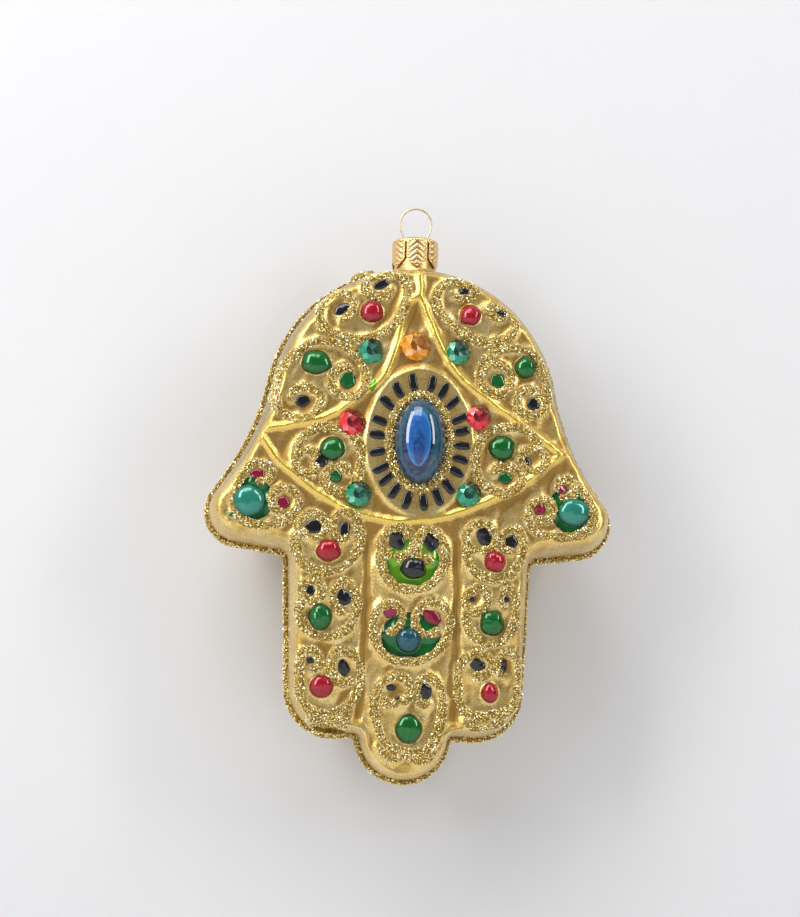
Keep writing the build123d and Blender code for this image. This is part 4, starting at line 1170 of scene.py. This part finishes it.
def makeStone(name, draw):  # a flat-backed cut stone: girdle, kites, star facets and a slightly dished table
    low, high = (np.array(corner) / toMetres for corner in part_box(name))
    middle, radius, height = (low + high) / 2, (high[0] - low[0]) / 2, high[1] - low[1]
    look = stoneLooks

    def ring(count, first, reach, up):
        turns = np.radians(first + 360 / count * np.arange(count))
        return [(middle[0] + radius * reach * math.cos(t), high[1] - height * up,
                 middle[2] + radius * reach * math.sin(t)) for t in turns]

    # points 0 to 15 foot, 16 to 31 girdle, 32 to 39 stars, 40 to 47 table, 48 its middle, 49 the back's
    verts = (ring(16, 0, 1, 0) + ring(16, 0, 1, look["girdle"])
             + ring(8, 22.5, look["starReach"], look["star"]) + ring(8, 0, look["table"], 1)
             + ring(1, 0, 0, 1 - look["dish"]) + ring(1, 0, 0, 0))
    faces, tones = [], []

    def facet(corners, tone):
        faces.append(corners)
        tones.append(min(1, max(0, tone + draw.uniform(-look["toneSpread"], look["toneSpread"]))))

    # painted reflections: a facet's tone grows the more it faces the lower left, one kite is painted as a
    # bright glint, and the table is kept dark
    def lit(kind, angle):
        plain, gain = look[kind]
        return plain + gain * math.cos(math.radians(angle - look["brightWay"]))

    for k in range(16):
        n = (k + 1) % 16
        facet((k, n, 16 + n, 16 + k), look["rim"])
        facet((n, k, 49), look["back"])
        star = 32 + k // 2
        facet((16 + k, 16 + n, star), lit("upper", 22.5 * k + 11))
    for k in range(8):
        before, after, angle = 32 + (k - 1) % 8, 32 + k, 45 * k
        pale = look["brightTone"] if k == look["brightKite"] else 0.0
        facet((16 + 2 * k, after, 40 + k, before), lit("kite", angle) + pale)
        facet((after, 40 + (k + 1) % 8, 40 + k), lit("starTone", angle + 22) + 0.5 * pale)
        facet((40 + k, 40 + (k + 1) % 8, 48), lit("tableTone", angle + 200))
    obj = shapeObject("cut_stone_" + name.removeprefix("rhinestone_"), newShape(verts, faces), smooth=False)
    obj.data.attributes.new("facetTone", "FLOAT", "FACE").data.foreach_set("value", tones)
    return obj


def makeStoneMaterial(name, dark, middle, pale):
    look = stoneLooks
    material, tree, shader = newMaterial("cut" + name.title().replace("_", ""), metal=look["metal"],
                                         rough=look["rough"], coat=look["coat"], coatRough=look["coatRough"])
    cloud = spread(tree, speckle(tree, *look["cloud"]), 0, 1, -look["cloudSpread"], look["cloudSpread"])
    tone = calculate(tree, "ADD", attribute(tree, "facetTone"), cloud, True)
    stops = tuple(zip(look["toneStops"], (dark, middle, middle, pale)))
    tree.links.new(ramp(tree, tone, stops), shader.inputs["Base Color"])
    return material


def makeStones():
    draw = np.random.default_rng(stoneLooks["seed"])
    materials = {}
    for node in [name for name in nodes if name.startswith("rhinestone_")]:
        slot = node.split("_")[1] + "_stone"
        if slot not in materials:
            materials[slot] = makeStoneMaterial(slot, *stoneLooks[slot])
        finishPiece(makeStone(node, draw), materials[slot], "glass", slot, node)


makeStones()
print("stones set")

capLooks = {
    "radius": 4.78, "top": -6.75, "tip": -13.02, "shoulder": 1.0, "wall": 0.26, "petals": 6,
    "slitTop": 1.1, "slitRun": 3.6, "slitWidth": 0.34, "gapWidth": 4.1, "columns": 40, "rowStep": 0.12,
    "beadPitch": 0.62, "beadRise": 0.17, "beadReach": 0.2, "beadInset": 0.34, "beadsAbove": -0.3,
    "rimShare": 0.9, "rimReach": 0.24, "chevronPitch": 1.2, "chevronRise": 0.13, "chevronLean": 0.85,
    "chevronPower": 1.6, "chevronEdge": (0.62, 0.85), "chevronStart": (0.3, 0.7), "topPress": 0.4,
    "centre": 0.15, "topRings": 22, "shoulderRings": 13, "weld": 0.005,
    # tones run from dark on the flat tin to pale on the tops of the beads and chevrons: painted shade and
    # painted highlight
    "metal": 0.95, "tones": ((0.0, (0.62, 0.32, 0.09)), (0.35, (0.88, 0.58, 0.24)), (1.0, (1.0, 0.82, 0.52))),
    "fine": (3000.0, 0.3, 0.7), "fineShare": 0.25, "fineColor": (0.98, 0.80, 0.50), "rough": (0.24, 0.34),
    "bumpDistance": 0.00005, "bumpStrength": 0.3,
}


def makeCap():  # the crimped cap: a pressed cup slit into six petals, with beaded edges and chevrons
    s = capLooks
    bend = s["radius"] - s["shoulder"]
    profile = [(r, s["top"], 0.0, 1.0) for r in np.linspace(s["centre"], bend, s["topRings"])[:-1]]
    profile += [(bend + s["shoulder"] * math.sin(a), s["top"] - s["shoulder"] * (1 - math.cos(a)),
                 math.sin(a), math.cos(a)) for a in np.linspace(0, math.pi / 2, s["shoulderRings"])]
    wall = np.arange(s["top"] - s["shoulder"], s["tip"], -s["rowStep"])[1:]
    profile += [(s["radius"], z, 1.0, 0.0) for z in np.r_[wall, s["tip"]]]
    profile = np.array(profile)
    runs = np.r_[0, np.cumsum(np.linalg.norm(np.diff(profile[:, :2], axis=0), axis=1))]
    rimRun = bend + s["shoulder"] * s["rimShare"]
    chevronFirst, chevronFull = s["chevronStart"]
    beadCount = round(2 * math.pi * s["radius"] / s["beadPitch"])
    across = np.linspace(-1, 1, s["columns"])
    verts, faces, press = [], [], []
    fullHalf = math.pi / s["petals"]
    for petal in range(s["petals"]):
        middle, first = (petal + 0.5) * 2 * fullHalf, len(verts)
        for (radius, z, out, up), run in zip(profile, runs):
            below = s["top"] - s["slitTop"] - z
            gap = 0.0
            if below > 0:
                lower = max(0, below - s["slitRun"]) / (s["top"] - s["tip"] - s["slitTop"] - s["slitRun"])
                gap = math.asin((s["slitWidth"] + lower * (s["gapWidth"] - s["slitWidth"])) / 2 / radius)
            half = fullHalf - gap
            edge = (1 - np.abs(across)) * half * radius
            side = np.abs(across) * half * radius
            beads = np.exp(-((edge - s["beadInset"]) / s["beadReach"])**2) * (below > s["beadsAbove"])
            beads = beads * (0.5 + 0.5 * math.cos(2 * math.pi * run / s["beadPitch"]))
            rim = math.exp(-((run - rimRun) / s["rimReach"])**2)
            turns = middle + across * half
            rimBeads = rim * (0.5 + 0.5 * np.cos(turns * beadCount))
            wave = 0.5 + 0.5 * np.cos(2 * math.pi * (run - s["chevronLean"] * side) / s["chevronPitch"])
            chevrons = (wave**s["chevronPower"] * smoothStep(*s["chevronEdge"], edge)
                        * smoothStep(rimRun + chevronFirst, rimRun + chevronFull, run))
            raised = np.maximum(np.maximum(beads, rimBeads) * s["beadRise"], chevrons * s["chevronRise"])
            press.extend(raised / s["beadRise"])
            r = radius + raised * out
            height = z + raised * up * s["topPress"]
            verts.extend(np.column_stack((r * np.cos(turns), r * np.sin(turns), height)))
        for i in range(len(profile) - 1):
            for j in range(s["columns"] - 1):
                a = first + i * s["columns"] + j
                b = a + s["columns"]
                faces.append((a, b, b + 1, a + 1))
    tip = len(verts)
    verts.append((0, 0, s["top"]))
    press.append(0)
    for petal in range(s["petals"]):
        first = petal * len(profile) * s["columns"]
        faces.extend((first + j, first + j + 1, tip) for j in range(s["columns"] - 1))
    obj = shapeObject("crimped_cap", newShape(verts, faces, press), closed=False)
    work = bmesh.new()
    work.from_mesh(obj.data)
    bmesh.ops.remove_doubles(work, verts=work.verts, dist=s["weld"] * toMetres)
    work.to_mesh(obj.data)
    work.free()
    thick = obj.modifiers.new("wall", "SOLIDIFY")
    thick.thickness, thick.offset = s["wall"] * toMetres, -1
    bakeModifiers(obj)
    return obj


def makeCapMaterial():
    look = capLooks
    material, tree, shader = newMaterial("peachGoldTin", metal=look["metal"])
    fine = speckle(tree, *look["fine"])
    # painted highlight and shade: paler where the tin is raised, darker orange on the flat between
    color = ramp(tree, attribute(tree, "share"), look["tones"])
    dust = calculate(tree, "MULTIPLY", fine, look["fineShare"])
    tree.links.new(mixColor(tree, dust, color, look["fineColor"]), shader.inputs["Base Color"])
    tree.links.new(spread(tree, fine, 0, 1, *look["rough"]), shader.inputs["Roughness"])
    bump(tree, shader, fine, look["bumpDistance"], look["bumpStrength"])
    return material


finishPiece(makeCap(), makeCapMaterial(), "cap", "cap_metal", "cap")


wireLooks = {"metal": 0.95, "fine": (1500.0, 0.35, 0.65), "dark": (0.66, 0.55, 0.34),
             "pale": (0.82, 0.74, 0.54), "rough": (0.25, 0.38)}


def makeWireMaterial():
    look = wireLooks
    material, tree, shader = newMaterial("paleBrassWire", metal=look["metal"])
    fine = speckle(tree, *look["fine"])
    tree.links.new(mixColor(tree, fine, look["dark"], look["pale"]), shader.inputs["Base Color"])
    tree.links.new(spread(tree, fine, 0, 1, *look["rough"]), shader.inputs["Roughness"])
    return material


nodes["hanger_wire"].data.materials.clear()
nodes["hanger_wire"].data.materials.append(makeWireMaterial())
print("cap and hanger finished")

# Camera at the photograph's angle: a little from the left and from the fingertips' side
cameraSizes = {"azimuth": -5.0, "elevation": -9.0, "roll": 1.6, "lens": 110.0, "pixel": 0.2085,
               "target": (-2.0, 0.0, -53.3), "imageHeight": 917, "clipStart": 0.01}


def makeCamera():
    s = cameraSizes
    data = bpy.data.cameras.new("photoView")
    data.lens = s["lens"]
    distance = s["imageHeight"] * s["pixel"] * s["lens"] / data.sensor_width * toMetres
    azimuth, elevation = math.radians(s["azimuth"]), math.radians(s["elevation"])
    away = Vector((math.sin(azimuth) * math.cos(elevation), -math.cos(azimuth) * math.cos(elevation),
                   math.sin(elevation)))
    camera = bpy.data.objects.new("photoView", data)
    bpy.context.scene.collection.objects.link(camera)
    turn = (-away).to_track_quat("-Z", "Y").to_matrix() @ Matrix.Rotation(math.radians(s["roll"]), 3, "Z")
    camera.matrix_world = Matrix.Translation(Vector(s["target"]) * toMetres + away * distance) @ turn.to_4x4()
    data.clip_start = s["clipStart"]
    bpy.context.scene.camera = camera


makeCamera()

stageLooks = {
    "middle": (0.0, 0.0, -0.06), "backdropY": 0.019, "floorZ": -0.172, "reach": 1.5,
    "cloth": (0.72, 0.72, 0.73), "clothShade": 0.96, "clothRough": 0.85, "clothSpecular": 0.2,
    "weave": (5.0, 0.3, 0.7), "weaveShare": 0.5,
    "worldStrength": 0.62, "bright": (1.15, 1.15, 1.15), "dim": (0.2, 0.205, 0.22),
    "front": (0.34, 0.345, 0.36), "toCamera": (1.35, 1.36, 1.38),
    "brightWay": (-0.6, 0.1, 0.8), "brightRange": (-0.45, 0.75), "frontRange": (-0.45, -0.9),
    "lamps": {  # azimuth and elevation seen from the ornament, distance, width, height, watts
        "leftWindow": (-50.0, 28.0, 0.62, 0.15, 0.55, 2.2),
        "rightWindow": (50.0, 24.0, 0.62, 0.10, 0.45, 1.2),
        "topSoftbox": (-20.0, 56.0, 0.7, 0.4, 0.3, 1.5),
    },
}


def makeLamps():
    middle = Vector(stageLooks["middle"])
    for name, (azimuth, elevation, distance, width, height, watts) in stageLooks["lamps"].items():
        a, e = math.radians(azimuth), math.radians(elevation)
        way = Vector((math.sin(a) * math.cos(e), -math.cos(a) * math.cos(e), math.sin(e)))
        place = middle + distance * way
        data = bpy.data.lights.new(name, "AREA")
        data.shape = "RECTANGLE"
        data.size, data.size_y, data.energy = width, height, watts
        lamp = bpy.data.objects.new(name, data)
        bpy.context.scene.collection.objects.link(lamp)
        turn = (middle - place).to_track_quat("-Z", "Y").to_matrix()
        lamp.matrix_world = Matrix.Translation(place) @ turn.to_4x4()


def makeStage():  # a pale backdrop that shows only from its front, and a pale floor below the view
    look = stageLooks
    material, tree, shader = newMaterial("paleCloth", rough=look["clothRough"],
                                         specular=look["clothSpecular"])
    weave = calculate(tree, "MULTIPLY", speckle(tree, *look["weave"]), look["weaveShare"])
    shaded = tuple(c * look["clothShade"] for c in look["cloth"])
    tree.links.new(mixColor(tree, weave, look["cloth"], shaded), shader.inputs["Base Color"])
    clear, mix = tree.nodes.new("ShaderNodeBsdfTransparent"), tree.nodes.new("ShaderNodeMixShader")
    back = tree.nodes.new("ShaderNodeNewGeometry")
    tree.links.new(back.outputs["Backfacing"], mix.inputs["Fac"])
    tree.links.new(shader.outputs["BSDF"], mix.inputs[1])
    tree.links.new(clear.outputs["BSDF"], mix.inputs[2])
    tree.links.new(mix.outputs["Shader"], tree.nodes["Material Output"].inputs["Surface"])
    reach, y, z = (look[key] / toMetres for key in ("reach", "backdropY", "floorZ"))
    sheets = {"pale_backdrop": [(-reach, y, z), (reach, y, z), (reach, y, reach), (-reach, y, reach)],
              "pale_floor": [(-reach, -reach, z), (reach, -reach, z), (reach, reach, z), (-reach, reach, z)]}
    for name, corners in sheets.items():
        sheet = shapeObject(name, newShape(corners, [(0, 1, 2, 3)]), smooth=False, closed=False)
        sheet.data.materials.append(material)
        sheet.visible_shadow = False


def makeWorld():  # brighter from the upper left, dimmer from the lower right; plainly pale to the camera
    look = stageLooks
    world = bpy.data.worlds.new("studio")
    bpy.context.scene.world = world
    world.use_nodes = True
    tree = world.node_tree
    background = tree.nodes["Background"]
    place, way = tree.nodes.new("ShaderNodeTexCoord"), tree.nodes.new("ShaderNodeVectorMath")
    way.operation = "DOT_PRODUCT"
    tree.links.new(place.outputs["Generated"], way.inputs[0])
    way.inputs[1].default_value = Vector(look["brightWay"]).normalized()
    share = spread(tree, way.outputs["Value"], *look["brightRange"])
    light = mixColor(tree, share, look["dim"], look["bright"])
    facing = tree.nodes.new("ShaderNodeSeparateXYZ")
    tree.links.new(place.outputs["Generated"], facing.inputs[0])
    light = mixColor(tree, spread(tree, facing.outputs["Y"], *look["frontRange"]), light, look["front"])
    rays = tree.nodes.new("ShaderNodeLightPath")
    color = mixColor(tree, rays.outputs["Is Camera Ray"], light, look["toCamera"])
    tree.links.new(color, background.inputs["Color"])
    background.inputs["Strength"].default_value = look["worldStrength"]


makeLamps()
makeStage()
makeWorld()
bpy.context.scene.view_settings.view_transform = "Standard"
